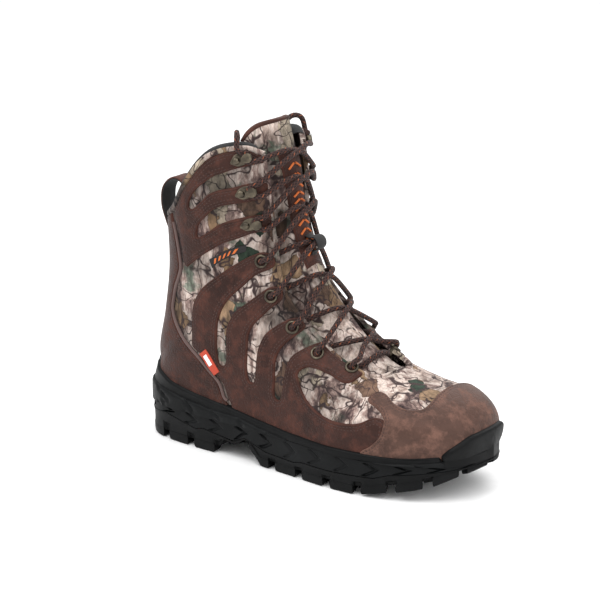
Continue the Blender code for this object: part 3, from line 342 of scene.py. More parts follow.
def camo_material():
    """Printed woodland camouflage: bark, leaves, twigs and shade, over a fine woven face."""
    shader = Shader("camo_cloth", 0.82, Sheen_Weight=0.04, Sheen_Roughness=0.5, Specular_IOR_Level=0.2)
    ragged = shader.moved(55.0, 0.016)
    bark = shader.ramp(shader.noise(52.0, shader.scaled((1.0, 1.0, 0.42), ragged), 6.0, 0.66), [
        (0.32, (0.022, 0.014, 0.015)), (0.40, (0.11, 0.068, 0.064)), (0.455, (0.31, 0.215, 0.185)),
        (0.52, (0.70, 0.585, 0.52)), (0.595, (0.44, 0.335, 0.285)), (0.67, (0.16, 0.105, 0.092)),
        (0.72, (0.035, 0.024, 0.022)),
    ])
    moss = shader.ramp(shader.noise(31.0, shader.moved(70.0, 0.014), 5.0, 0.6), [(0.57, 0.0), (0.63, 0.8)])
    green = shader.ramp(shader.noise(210.0), [(0.36, (0.012, 0.030, 0.020)), (0.62, (0.10, 0.16, 0.11))])
    forward = shader.add("ShaderNodeSeparateXYZ", {0: shader.place}).outputs[0]
    front = shader.ramp(shader.math("MULTIPLY", forward, 5.0), [(0.0, 0.0), (0.30, 1.0)])
    moss = shader.math("MULTIPLY", moss, shader.math("SUBTRACT", 1.0, shader.math("MULTIPLY", front, 0.75)))
    bark = shader.mix(moss, bark, green)
    grain = shader.ramp(shader.noise(420.0, shader.scaled((1.0, 1.0, 0.12)), 3.0), [(0.38, 0.62), (0.6, 1.0)])
    surface = shader.mix(1.0, bark, grain, "MULTIPLY")

    leaf_place = shader.scaled((1.0, 1.0, 0.7), shader.moved(90.0, 0.012))
    hue = shader.add("ShaderNodeSeparateColor", {0: shader.cells(70.0, leaf_place, output="Color")}).outputs
    leaf = shader.ramp(hue[1], [
        (0.0, (0.33, 0.215, 0.13)), (0.25, (0.24, 0.15, 0.085)), (0.45, (0.030, 0.050, 0.032)),
        (0.60, (0.46, 0.38, 0.29)), (0.80, (0.16, 0.095, 0.065)),
    ], "CONSTANT")
    vein = shader.ramp(shader.cells(70.0, leaf_place, "DISTANCE_TO_EDGE"), [(0.0, 0.35), (0.05, 1.0)])
    streaks = shader.noise(150.0, shader.scaled((1.0, 1.0, 0.35)), 6.0, 0.7)
    ribs = shader.ramp(streaks, [(0.36, 0.35), (0.58, 1.1)])
    leaf = shader.mix(1.0, shader.mix(1.0, leaf, vein, "MULTIPLY"), ribs, "MULTIPLY")
    shows = shader.math("GREATER_THAN", hue[0], 0.78)
    surface = shader.mix(shows, surface, leaf)

    for stretch, seed in (((2.2, 2.2, 0.55), 24.0), ((0.8, 0.8, 1.9), 31.0)):
        twig = shader.noise(26.0, shader.scaled(stretch, shader.moved(seed, 0.03)), 2.0)
        line = shader.math("ABSOLUTE", shader.math("SUBTRACT", twig, 0.5))
        surface = shader.mix(shader.ramp(line, [(0.006, 1.0), (0.016, 0.0)]), surface, (0.045, 0.028, 0.027))
    dim = shader.ramp(shader.noise(22.0, detail=3.0), [(0.40, 0.22), (0.60, 0.95)])
    bright = shader.ramp(shader.noise(22.0, detail=3.0), [(0.36, 0.60), (0.52, 1.0)])
    shader.colour(shader.mix(1.0, surface, shader.mix(front, dim, bright), "MULTIPLY"))

    weave = shader.math("ADD", shader.ridges((1, 0, 1), 5200.0), shader.ridges((1, 0, -1), 5200.0))
    shader.bump((weave, 0.00006), (shader.noise(160.0), 0.00025))
    return shader.material


def leather_material(name, colour, wear):
    """Brushed brown leather: mottled colour, pores, creases, rubbed edges and a groove at each seam."""
    shader = Shader(name, 0.62, Sheen_Weight=0.02, Sheen_Roughness=0.4, Specular_IOR_Level=0.16)
    dark = tuple(channel * 0.52 for channel in colour)
    light = tuple(min(channel * wear, 1.0) for channel in colour)
    cloud = shader.ramp(shader.noise(34.0, detail=6.0, roughness=0.62), [(0.34, 0.0), (0.66, 1.0)])
    scuff = shader.ramp(shader.noise(95.0, shader.moved(40.0, 0.01), 7.0, 0.7), [(0.47, 0.0), (0.68, 1.0)])
    surface = shader.mix(cloud, dark, colour)
    surface = shader.mix(shader.math("MULTIPLY", scuff, 0.75), surface, light)
    edge = shader.add("ShaderNodeAttribute", attribute_name="edge").outputs["Fac"]
    rubbed = shader.ramp(shader.math("DIVIDE", edge, 2.0), [(0.0, 1.0), (0.55, 0.0)])
    rubbed = shader.math("MULTIPLY", rubbed, shader.ramp(shader.noise(140.0), [(0.35, 0.2), (0.65, 0.8)]))
    shader.colour(shader.mix(rubbed, surface, light))
    shader.rough(scuff, 0.5, 0.74)
    pores = shader.cells(1500.0, shader.moved(300.0, 0.001))
    cracks = shader.cells(170.0, shader.moved(120.0, 0.006), "DISTANCE_TO_EDGE")
    creases = shader.ramp(cracks, [(0.0, 0.0), (0.12, 1.0)])
    seam = shader.math("ABSOLUTE", shader.math("SUBTRACT", edge, 2.2))
    groove = shader.ramp(seam, [(0.0, 0.0), (0.75, 1.0)])
    grain = shader.noise(420.0, detail=5.0)
    shader.bump((pores, 0.00016), (creases, 0.00012), (grain, 0.00012), (groove, 0.00035))
    return shader.material


def rubber_material(name, colour=(0.0022, 0.0024, 0.0026), roughness=0.48):
    """Moulded black rubber: fine mould texture, dusty in the hollows."""
    shader = Shader(name, roughness, Specular_IOR_Level=0.12)
    dusty = tuple(channel * 2.0 + 0.0025 for channel in colour)
    cloud = shader.ramp(shader.noise(48.0, detail=5.0), [(0.45, 0.0), (0.8, 0.7)])
    shader.colour(shader.mix(cloud, colour, dusty))
    shader.rough(shader.noise(120.0), roughness - 0.1, roughness + 0.16)
    shader.bump((shader.noise(1300.0, detail=2.0), 0.00007), (shader.noise(240.0), 0.00012))
    return shader.material


def brass_material():
    """Darkened antique brass, rubbed brighter where it is handled."""
    shader = Shader("antique_brass", 0.36, 1.0)
    cloud = shader.ramp(shader.noise(190.0, detail=5.0), [(0.36, 0.0), (0.7, 1.0)])
    shader.colour(shader.mix(cloud, (0.060, 0.051, 0.040), (0.145, 0.122, 0.088)))
    shader.rough(cloud, 0.46, 0.27)
    shader.bump((shader.noise(700.0), 0.00005))
    return shader.material


def lace_material():
    """Round braided lace: dark brown with rust-orange flecks and painted shade between its strands, read
    along and round the cord.
    """
    shader = Shader("lace_braid", 0.72, Sheen_Weight=0.05, Sheen_Roughness=0.4, Specular_IOR_Level=0.25)
    cord_place = shader.add("ShaderNodeUVMap", uv_map="cord").outputs[0]
    length, turn = shader.add("ShaderNodeSeparateXYZ", {0: cord_place}).outputs[:2]
    along, around = shader.math("MULTIPLY", length, 1.7), shader.math("MULTIPLY", turn, math.tau * 5)
    left = shader.math("SINE", shader.math("ADD", along, around))
    right = shader.math("SINE", shader.math("SUBTRACT", along, around))
    strands = shader.math("MAXIMUM", left, right)
    climb, wind = shader.math("MULTIPLY", length, 0.95), shader.math("MULTIPLY", turn, math.tau)
    spiral = shader.math("ADD", climb, wind)
    band = shader.ramp(shader.math("SINE", spiral), [(0.80, 0.0), (0.9, 1.0)])
    fleck = shader.math("MULTIPLY", band, shader.ramp(left, [(0.35, 0.0), (0.6, 1.0)]))
    # Painted shade: the braid is darker in the grooves between its strands and lighter on their crests.
    raised = shader.ramp(strands, [(0.1, 0.0), (0.9, 1.0)])
    base = shader.mix(raised, (0.010, 0.005, 0.0045), (0.048, 0.021, 0.017))
    worn = shader.ramp(shader.noise(240.0), [(0.40, 0.25), (0.60, 1.0)])
    shader.colour(shader.mix(shader.math("MULTIPLY", fleck, worn), base, (0.30, 0.082, 0.032)))
    shader.bump((strands, 0.00035))
    return shader.material


def woven_material(name, colour, scale=3600.0, depth=0.0001):
    """Plain woven or knitted cloth."""
    shader = Shader(name, 0.85, Sheen_Weight=0.05, Sheen_Roughness=0.5)
    light = tuple(min(channel * 1.6 + 0.003, 1.0) for channel in colour)
    weave = shader.math("MULTIPLY", shader.ridges((1, 0.4, 1), scale), shader.ridges((1, -0.4, -1), scale))
    shader.colour(shader.mix(shader.math("MULTIPLY", shader.noise(80.0), 0.5), colour, light))
    shader.bump((weave, depth), (shader.noise(500.0), depth))
    return shader.material


CAMO = camo_material()
LEATHER = leather_material("brown_leather", (0.0405, 0.0150, 0.0105), 2.2)
CAP_LEATHER = leather_material("toe_leather", (0.083, 0.043, 0.032), 2.1)
RUBBER = rubber_material("black_rubber")
FOAM = rubber_material("midsole_foam", (0.0030, 0.0034, 0.0037), 0.46)
BRASS = brass_material()
LACE = lace_material()
LINING = woven_material("lining_knit", (0.0065, 0.0065, 0.007))
THREAD = woven_material("brown_thread", (0.040, 0.0185, 0.0140), 9000.0, 0.00003)
PIPING = woven_material("piping_cord", (0.085, 0.052, 0.046), 7000.0, 0.00005)
ORANGE = woven_material("orange_thread", (0.46, 0.105, 0.018), 7000.0, 0.00005)
WHITE = woven_material("white_label", (0.75, 0.72, 0.70), 7000.0, 0.00005)
BLACK = woven_material("black_webbing", (0.006, 0.005, 0.005), 5200.0, 0.00008)
TIP = plain("lace_tip", (0.035, 0.025, 0.022), 0.35)


# ---------------------------------------------------------------- curves and the upper's surface


CURVE_STEPS = 24  # steps between two points of an outline


def smooth(values, at):
    """Catmull-Rom curve through the values, read at the given positions."""
    values = np.asarray(values, float)
    last = len(values) - 1
    at = np.clip(np.asarray(at, float), 0, last - 1e-9)
    index = np.floor(at).astype(int)
    part = (at - index)[..., None]
    ends = np.concatenate([[2 * values[0] - values[1]], values, [2 * values[-1] - values[-2]]])
    p0, p1, p2, p3 = (ends[index + k] for k in range(4))
    return 0.5 * (
        2 * p1
        + (p2 - p0) * part
        + (2 * p0 - 5 * p1 + 4 * p2 - p3) * part**2
        + (3 * p1 - p0 - 3 * p2 + p3) * part**3
    )


def lengths(line):
    """Length of a line up to each of its points."""
    return np.concatenate([[0], np.cumsum(np.linalg.norm(np.diff(line, axis=0), axis=1))])


def read(line, length, at):
    """A line's values at given lengths."""
    return np.stack([np.interp(at, length, column) for column in line.T], axis=1)


def closed_curve(points, count):
    """Smooth closed curve through the points, at even steps of its length."""
    cycle = list(points) + list(points[:3])
    dense = smooth(cycle[-1:] + cycle, 1 + np.arange(len(points) * CURVE_STEPS + 1) / CURVE_STEPS)
    length = lengths(dense)
    return read(dense, length, np.arange(count) * length[-1] / count)


def even_curve(points, step):
    """Smooth open curve through the points, at even steps of its length."""
    dense = smooth(points, np.linspace(0, len(points) - 1, CURVE_STEPS * len(points)))
    length = lengths(dense)
    return read(dense, length, np.linspace(0, length[-1], max(4, int(length[-1] / step))))


def averaged(values, reach):
    """Each value averaged with its neighbours on both sides."""
    count = 2 * reach + 1
    return np.convolve(np.pad(values, reach, mode="edge"), np.ones(count) / count, mode="valid")


def unit(vector):
    return vector / np.linalg.norm(vector)


def units(vectors):
    """Each row of an array made one long."""
    return vectors / np.maximum(np.linalg.norm(vectors, axis=-1, keepdims=True), 1e-12)


def ease(value):
    """A smooth step from 0 to 1."""
    value = np.clip(value, 0.0, 1.0)
    return value * value * (3 - 2 * value)


def profile_at(line, x):
    """Height of a side-view line at X."""
    line = np.array(line, float)
    return np.interp(x, line[:, 0], line[:, 1])


FEATHER_LINE = {
    side: smooth(points, np.linspace(0, len(points) - 1, 400)) for side, points in FEATHER.items()
}
THROAT_AT = np.linspace(0, 15.6, 625)
THROAT_SHARE = profile_at(THROAT, THROAT_AT)
THROAT_SHARE = np.where(THROAT_AT > 5.2, averaged(THROAT_SHARE, 8), THROAT_SHARE)


def throat(station):
    """Share of the section where the throat's edge is."""
    return np.interp(station, THROAT_AT, THROAT_SHARE)


def collar(share):
    """Station of the collar's edge at a share of the section."""
    at = np.linspace(0, 1, 201)
    return np.interp(share, at, averaged(profile_at(COLLAR, at), 8))


def upper_points(station, share, side):
    """Points on the shell's inner face, for arrays of one shape: side -1 is lateral, 1 is medial."""
    station, share, side = np.broadcast_arrays(*(np.asarray(v, float) for v in (station, share, side)))
    front_x, front_z, far_x, far_z, mid_y, out, inner, widest, front_n, rear_n = np.moveaxis(
        smooth(STATIONS, station), -1, 0
    )
    width = np.maximum(np.where(side < 0, out, inner), 1e-9)
    edges = {key: np.interp(far_x, line[:, 0], line[:, 1]) for key, line in FEATHER_LINE.items()}
    feather = np.clip(side * (np.where(side < 0, edges[-1], edges[1]) - mid_y) / width, 0, 1)
    feather = np.where(station < HEEL_STATION - 0.05, feather, 0)
    closing = (1 - feather**rear_n) ** (1 / rear_n)
    turn = np.minimum(share, 0.5) * math.pi
    front_along = widest * (1 - np.maximum(np.cos(turn), 0) ** (2 / front_n))
    front_across = np.sin(turn) ** (2 / front_n)
    rear = np.maximum(2 * share - 1, 0)
    turn = rear * np.arcsin(np.clip(closing ** (rear_n / 2), 0, 1))
    rear_along = widest + (1 - widest) * np.sin(turn) ** (2 / rear_n) / np.maximum(closing, 0.02)
    rear_across = np.maximum(np.cos(turn), 0) ** (2 / rear_n)
    open_end = closing < 0.02
    rear_along = np.where(open_end, widest + (1 - widest) * rear, rear_along)
    rear_across = np.where(open_end, 1.0, rear_across)
    back = np.where(share < 0.5, front_along, rear_along)
    across = np.where(share < 0.5, front_across, rear_across)
    return np.stack([
        front_x + (far_x - front_x) * back,
        mid_y + side * across * width,
        front_z + (far_z - front_z) * back,
    ], axis=-1)


def folded(station, share):
    """(station, share, side) with a negative share, or one past the back of the heel, on the other side."""
    side = np.where(share < 0, -1.0, 1.0)
    share = np.abs(share)
    past = (share > 1) & (station >= HEEL_STATION)
    return station, np.where(past, 2 - share, np.minimum(share, 1)), np.where(past, -side, side)


def signed_point(station, share):
    """Points with both sides in one share: from -1, lateral, over the ridge at 0, to 1, medial."""
    station, share = np.broadcast_arrays(np.asarray(station, float), np.asarray(share, float))
    return upper_points(*folded(station, share))


def signed_normal(station, share, step=0.012):
    """Outward normal at a station and a signed share."""
    station, share = np.asarray(station), np.asarray(share)
    low = np.maximum(np.asarray(station, float) - step, 0)
    climb = signed_point(station + step, share) - signed_point(low, share)
    across = signed_point(station, share + step) - signed_point(station, share - step)
    return units(np.cross(across, climb))


def off_upper(station, share, side, height):
    """Points at a height over the shell's inner face."""
    signed = share * side
    return signed_point(station, signed) + np.asarray(height)[..., None] * signed_normal(station, signed)


FAR = 99  # a field's value where its line doesn't reach


class Surface:
    """The whole upper as one fine grid: column 0 is the lateral feather, the middle the ridge."""

    def __init__(self):
        self.stations = np.concatenate([
            np.linspace(0, 0.4, 9), np.linspace(0.4, 4.6, 62)[1:], np.linspace(4.6, 5.6, 24)[1:],
            np.linspace(5.6, 11, 84)[1:], np.linspace(11, TOP_STATION, 84)[1:],
        ])
        self.shares = np.linspace(-1, 1, 197)
        station, share = np.meshgrid(self.stations, self.shares, indexing="ij")
        points, normals = signed_point(station, share), signed_normal(station, share)
        normals[0] = (0.96, 0, 0.28)
        skirts = []
        for edge in (points[:, :1], points[:, -1:]):
            drop = np.repeat(edge, 4, axis=1)
            share_down = (np.arange(1, 5) / 4) * (station[:, :1] < HEEL_STATION)
            drop[..., 2] += (BOARD_TOP - drop[..., 2]) * share_down
            skirts.append(drop)
        self.points = np.concatenate([skirts[0][:, ::-1], points, skirts[1]], axis=1)
        edge_normals = [np.repeat(normals[:, [k]], 4, axis=1) for k in (0, -1)]
        for normal in edge_normals:
            normal[..., 2] = np.where(station[:, :1] < HEEL_STATION, 0, normal[..., 2])
        left, right = (units(normal) for normal in edge_normals)
        self.normals = np.concatenate([left, normals, right], axis=1)
        self.share = np.pad(share, ((0, 0), (4, 4)), mode="edge")
        self.station = np.pad(station, ((0, 0), (4, 4)), mode="edge")
        rows, columns = self.share.shape
        index = np.arange(rows * columns).reshape(rows, columns)
        closed = self.stations >= HEEL_STATION
        index[closed, -5:] = index[closed, 4][:, None]
        index[closed, :4] = index[closed, 4][:, None]
        a, b, c, d = index[:-1, :-1], index[:-1, 1:], index[1:, 1:], index[1:, :-1]
        faces = np.concatenate([np.stack([a, b, c], -1), np.stack([a, c, d], -1)], axis=0).reshape(-1, 3)
        whole = (faces[:, 0] != faces[:, 1]) & (faces[:, 1] != faces[:, 2]) & (faces[:, 0] != faces[:, 2])
        self.faces = faces[whole]
        self.flat_points = self.points.reshape(-1, 3)
        self.flat_normals = self.normals.reshape(-1, 3)
        at = np.linspace(4.72, 15, 500)
        edge = np.concatenate([signed_point(at, throat(at) * side) for side in (-1, 1)])
        outside = np.sign(np.abs(self.share) - throat(self.station)).reshape(-1)
        self.throat_field = nearest(self.flat_points, edge) * outside
        self.throat_field[self.station.reshape(-1) < THROAT_END] = FAR
        across = np.linspace(-1, 1, 700)
        edge = signed_point(collar(np.abs(across)), across)
        below = np.sign(collar(np.abs(self.share)) - self.station).reshape(-1)
        self.collar_field = nearest(self.flat_points, edge) * below

    def inside(self, outline, side=None):
        """Distance to a side-view outline along the surface, positive inside it."""
        loop = closed_curve(outline, 14 * len(outline))
        distance, towards = outline_distance(self.flat_points[:, [0, 2]], loop)
        slope = np.sum(towards * self.flat_normals[:, [0, 2]], axis=1)
        field = distance / np.sqrt(np.maximum(1 - slope**2, 0.2))
        if side:
            field = np.where(self.share.reshape(-1) * side > 0, field, -9)
        return field

    def from_side(self, x, z, side):
        """(point, normal) of the surface seen from one side at X, Z."""
        shown = self.share.reshape(-1) * side > 0.06
        off = (self.flat_points[:, 0] - x) ** 2 + (self.flat_points[:, 2] - z) ** 2 + np.where(shown, 0, 1e6)
        k = int(off.argmin())
        point, normal = self.flat_points[k].copy(), self.flat_normals[k]
        shift = np.array([x - point[0], 0, z - point[2]])
        shift[1] = -(normal[0] * shift[0] + normal[2] * shift[2]) / normal[1]
        return point + shift, normal


def nearest(points, line):
    """Distance of each point to the nearest point of a line."""
    found = np.full(len(points), 1e9)
    for start in range(0, len(line), 50):
        part = line[start : start + 50]
        away = np.linalg.norm(points[:, None, :] - part[None], axis=2).min(axis=1)
        found = np.minimum(found, away)
    return found


def outline_distance(points, loop):
    """(signed distance, direction towards the outline) of flat points, positive inside the loop."""
    best = np.full(len(points), 1e9)
    towards = np.zeros_like(points)
    crossings = np.zeros(len(points), int)
    for a, b in zip(loop, np.roll(loop, -1, axis=0)):
        edge = b - a
        part = np.clip(((points - a) @ edge) / max(edge @ edge, 1e-12), 0, 1)
        away = points - (a + part[:, None] * edge)
        distance = np.linalg.norm(away, axis=1)
        closer = distance < best
        best[closer] = distance[closer]
        towards[closer] = away[closer] / np.maximum(distance[closer], 1e-9)[:, None]
        if a[1] != b[1]:
            spans = (a[1] > points[:, 1]) != (b[1] > points[:, 1])
            crossings += spans & (points[:, 0] < a[0] + (points[:, 1] - a[1]) * edge[0] / edge[1])
    return np.where(crossings % 2 == 1, best, -best), towards


UPPER = Surface()


# ---------------------------------------------------------------- pieces


def put(name, mesh, finish, body=BOOT, stands_for=(), slot=None):
    """A finished piece that rides on a body and stands for CAD nodes."""
    made = bpy.data.objects.new(name, mesh)
    bpy.context.scene.collection.objects.link(made)
    if not mesh.materials:
        mesh.materials.append(finish)
    if body:
        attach(made, body)
    if stands_for:
        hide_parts(*stands_for)
    return made


def mesh_of(name, points, faces, angle=50, **layers):
    """A mesh from drawn points, with per-point numbers as attributes."""
    mesh = bpy.data.meshes.new(name)
    mesh.from_pydata(metres(points).tolist(), [], [list(map(int, face)) for face in faces])
    for key, values in layers.items():
        layer = mesh.attributes.new(key, "FLOAT", "POINT")
        layer.data.foreach_set("value", np.asarray(values, np.float32))
    mesh.validate()
    mesh.shade_smooth()
    mesh.set_sharp_from_angle(angle=math.radians(angle))
    return mesh


def split(data, faces, level):
    """The triangles cut along a level of the data's last column."""
    high = data[:, -1] > level
    sides = np.sort(np.concatenate([faces[:, [0, 1]], faces[:, [1, 2]], faces[:, [2, 0]]]), axis=1)
    sides = np.unique(sides[high[sides[:, 0]] != high[sides[:, 1]]], axis=0)
    first, second = data[sides[:, 0]], data[sides[:, 1]]
    share = (first[:, -1] - level) / (first[:, -1] - second[:, -1])
    new = first + share[:, None] * (second - first)
    new[:, -1] = level
    cut = {(a, b): len(data) + k for k, (a, b) in enumerate(sides.tolist())}
    mixed = (high[faces].sum(axis=1) % 3) != 0
    made = []
    for face in faces[mixed].tolist():
        flags = [bool(high[v]) for v in face]
        lone = flags.index(sum(flags) == 1)
        a, b, c = face[lone], face[(lone + 1) % 3], face[(lone + 2) % 3]
        ab, ac = cut[min(a, b), max(a, b)], cut[min(a, c), max(a, c)]
        made += [(a, ab, ac), (ab, b, c), (ab, c, ac)]
    return np.concatenate([data, new]), np.concatenate([faces[~mixed], np.array(made, int).reshape(-1, 3)])


def cut_out(field, rows=WHOLE, levels=(0.0,)):
    """(points, normals, distance from the edge, faces) of the part of the upper where a field is positive."""
    station = UPPER.station.reshape(-1)
    data = np.concatenate([UPPER.flat_points, UPPER.flat_normals, field[:, None]], axis=1)
    faces = UPPER.faces
    chosen = (field[faces].max(axis=1) > 0) & (station[faces].min(axis=1) >= rows[0] - 1e-6)
    faces = faces[chosen & (station[faces].max(axis=1) <= rows[1] + 1e-6)]
    for level in levels:
        data, faces = split(data, faces, level)
        if level == levels[0]:
            faces = faces[data[faces, -1].mean(axis=1) > level]
    used, back = np.unique(faces, return_inverse=True)
    data, faces = data[used], back.reshape(-1, 3)
    return data[:, :3], data[:, 3:6], data[:, 6], faces


def open_edges(faces):
    """Directed edges that only one triangle has."""
    ends = np.concatenate([faces[:, [0, 1]], faces[:, [1, 2]], faces[:, [2, 0]]])
    key = np.sort(ends, axis=1)
    _, index, count = np.unique(key, axis=0, return_inverse=True, return_counts=True)
    return ends[count[index.reshape(-1)] == 1]


def panel(name, field, low, high, finish, rows=WHOLE, roll=1.1, closed=False, swell=0.0, relief=None,
          **more):
    """A piece of sheet laid on the upper between two heights, with a rolled edge."""
    points, normals, edge, faces = cut_out(field, rows, (0.0, 0.12 * roll, 0.45 * roll, roll))
    inner = 1 - np.clip(edge / roll, 0, 1)
    height = low + (high - low) * np.sqrt(np.maximum(1 - inner**2, 0))
    height = height + swell * np.clip(edge / 7, 0, 1) ** 0.6
    if relief:
        height = height + relief(points) * np.clip(edge / roll, 0, 1)
    top = points + normals * height[:, None]
    rim = open_edges(faces)
    faces_all = faces.tolist()
    if closed:
        under, under_edge = np.arange(len(points)), edge
        faces_all += (faces[:, ::-1] + len(points)).tolist()
    else:
        under = np.unique(rim)
        under_edge = np.zeros(len(under))
    lower = {v: len(top) + k for k, v in enumerate(under.tolist())}
    bottom = points[under] + normals[under] * (low - 0.5)
    edges = np.concatenate([edge, under_edge])
    for a, b in rim.tolist():
        faces_all.append((b, a, lower[a], lower[b]))
    mesh = mesh_of(name, np.concatenate([top, bottom]), faces_all, edge=edges)
    return put(name, mesh, finish, **more)


def loft_faces(steps, count, capped=True):
    """Faces of a loft: quads between closed rings of points, and its two ends."""
    faces = []
    for start in range(0, (steps - 1) * count, count):
        for k in range(count):
            n = (k + 1) % count
            faces.append((start + k, start + n, start + count + n, start + count + k))
    if capped:
        faces.append(tuple(range(count))[::-1])
        faces.append(tuple((steps - 1) * count + k for k in range(count)))
    return faces


def tube_mesh(name, route, radius, sides=12):
    """A round cord along dense drawn points, with a cord UV: length in millimetres, turn from 0 to 1."""
    ahead = units(np.gradient(route, axis=0))
    frames = [np.cross(ahead[0], (0.3, 0.2, 0.93))]
    for direction in ahead:
        frames.append(unit(frames[-1] - direction * (frames[-1] @ direction)))
    across = np.array(frames[1:])
    up = np.cross(ahead, across)
    turns = np.arange(sides) / sides * math.tau
    rings = [route + radius * (math.cos(t) * across + math.sin(t) * up) for t in turns]
    points = np.stack(rings, axis=1).reshape(-1, 3)
    mesh = mesh_of(name, points, loft_faces(len(route), sides), 60)
    length = lengths(route)
    uv = []
    for polygon in mesh.polygons:
        places = [divmod(mesh.loops[k].vertex_index, sides) for k in polygon.loop_indices]
        wraps = {0, sides - 1} <= {turn for _, turn in places}
        for step, turn in places:
            uv.append((length[step], 1.0 if wraps and turn == 0 else turn / sides))
    layer = mesh.uv_layers.new(name="cord")
    layer.data.foreach_set("uv", np.array(uv, np.float32).reshape(-1))
    return mesh


def strip_mesh(name, rings, closed_ends=True, angle=50):
    """A loft through matching closed rings of drawn points."""
    points = np.concatenate([np.asarray(ring) for ring in rings])
    mesh = mesh_of(name, points, loft_faces(len(rings), len(rings[0]), closed_ends), angle)
    shape = bmesh.new()
    shape.from_mesh(mesh)
    bmesh.ops.recalc_face_normals(shape, faces=shape.faces)
    shape.to_mesh(mesh)
    shape.free()
    mesh.shade_smooth()
    mesh.set_sharp_from_angle(angle=math.radians(angle))
    return mesh


def contour_lines(field, level, height, rows):
    """Drawn points along a level of a field, as chains, lifted off the upper, with their normals."""
    station = UPPER.station.reshape(-1)
    faces = UPPER.faces
    faces = faces[(field[faces].max(axis=1) > level) & (field[faces].min(axis=1) < level)]
    faces = faces[(station[faces].min(axis=1) >= rows[0]) & (station[faces].max(axis=1) <= rows[1])]
    cut, links = {}, {}
    for face in faces.tolist():
        hits = []
        for a, b in ((face[0], face[1]), (face[1], face[2]), (face[2], face[0])):
            if (field[a] > level) != (field[b] > level):
                key = (min(a, b), max(a, b))
                share = (level - field[key[0]]) / (field[key[1]] - field[key[0]])
                cut[key] = [
                    kept[key[0]] + share * (kept[key[1]] - kept[key[0]])
                    for kept in (UPPER.flat_points, UPPER.flat_normals)
                ]
                hits.append(key)
        if len(hits) == 2:
            links.setdefault(hits[0], []).append(hits[1])
            links.setdefault(hits[1], []).append(hits[0])
    chains, seen = [], set()
    starts = sorted(links, key=lambda key: (len(links[key]), key))
    for start in starts:
        if start in seen:
            continue
        chain, key = [], start
        while key is not None:
            seen.add(key)
            chain.append(key)
            key = next((other for other in links[key] if other not in seen), None)
        if len(chain) > 8:
            line = np.array([cut[key][0] + height * cut[key][1] for key in chain])
            chains.append((line, np.array([cut[key][1] for key in chain])))
    return chains


STITCH_PITCH, STITCH_LENGTH, STITCH_WIDTH = 2.9, 2.1, 0.55
STITCH = np.array([
    (-0.5, 0, -0.25), (-0.3, 0.5, 0.2), (-0.3, -0.5, 0.2), (0.3, 0.5, 0.2), (0.3, -0.5, 0.2),
    (0.5, 0, -0.25), (0, 0.55, 0.35), (0, -0.55, 0.35),
])
STITCH_FACES = [(0, 2, 1), (1, 2, 7), (1, 7, 6), (6, 7, 4), (6, 4, 3), (3, 4, 5)]


def stitches(name, chains, skip=None):
    """Rows of separate thread stitches along chains of drawn points."""
    points, faces = [], []
    for line, normals in chains:
        length = lengths(line)
        if length[-1] < 3 * STITCH_PITCH:
            continue
        at = np.arange(STITCH_PITCH / 2, length[-1] - STITCH_PITCH / 2, STITCH_PITCH)
        ahead = units(read(line, length, at + 0.8) - read(line, length, at - 0.8))
        up = units(read(normals, length, at))
        for c, a, s, u in zip(read(line, length, at), ahead, np.cross(up, ahead), up):
            if skip is not None and skip(c):
                continue
            base = len(STITCH) * len(points)
            across = STITCH[:, 1:2] * s * STITCH_WIDTH
            points.append(c + STITCH[:, :1] * a * STITCH_LENGTH + across + STITCH[:, 2:] * u * STITCH_WIDTH)
            faces += [tuple(base + v for v in face) for face in STITCH_FACES]
    if points:
        put(name, mesh_of(name, np.concatenate(points), faces, 80), THREAD)


def seam(name, field, levels, height, rows, skip=None):
    """Rows of stitches at some distances inside a panel's edge."""
    for number, level in enumerate(levels):
        stitches(f"{name}_{number}", contour_lines(field, level, height, rows), skip)


# ---------------------------------------------------------------- fabric and leather


def above(height):
    """Field that is positive above a side-view line."""
    return UPPER.flat_points[:, 2] - profile_at(height, UPPER.flat_points[:, 0])


def make_fabric():
    """The printed cloth shell, the collar's band and the binding of the throat."""
    opening = np.minimum(UPPER.throat_field, UPPER.collar_field)
    panel("camo_upper", opening, 0.0, 1.7, CAMO, closed=True, roll=1.0, slot="camo_fabric",
          stands_for=("vamp_fabric", "quarter_fabric_lateral", "quarter_fabric_medial"))
    edge = np.where(UPPER.collar_field < UPPER.throat_field, UPPER.collar_field, FAR)
    band = np.minimum(opening, 4.6 - edge)
    panel("collar_band", band, 1.7, 4.0, CAMO, (12, TOP_STATION), roll=1.4, stands_for=("collar_binding",),
          slot="camo_fabric")
    facing = np.minimum(np.minimum(opening, 3.4 - UPPER.throat_field), UPPER.collar_field - 3.0)
    panel("throat_binding", facing, 1.6, 3.3, CAMO, (THROAT_END, TOP_STATION), roll=1.3, slot="camo_fabric")


STRAPS = {"low": ("lower", LOWER_COMB, (3.4, 12.9)), "high": ("upper", UPPER_COMB, (8, TOP_STATION))}
COLLAR_MARGIN = 4.3  # the leather stops this far below the collar's edge


def comb(outline, side):
    """A strap panel's field: inside its outline, behind the throat's binding and under the collar's."""
    field = np.minimum(UPPER.inside(outline, side), UPPER.throat_field - 2.4)
    return np.minimum(field, UPPER.collar_field - COLLAR_MARGIN)


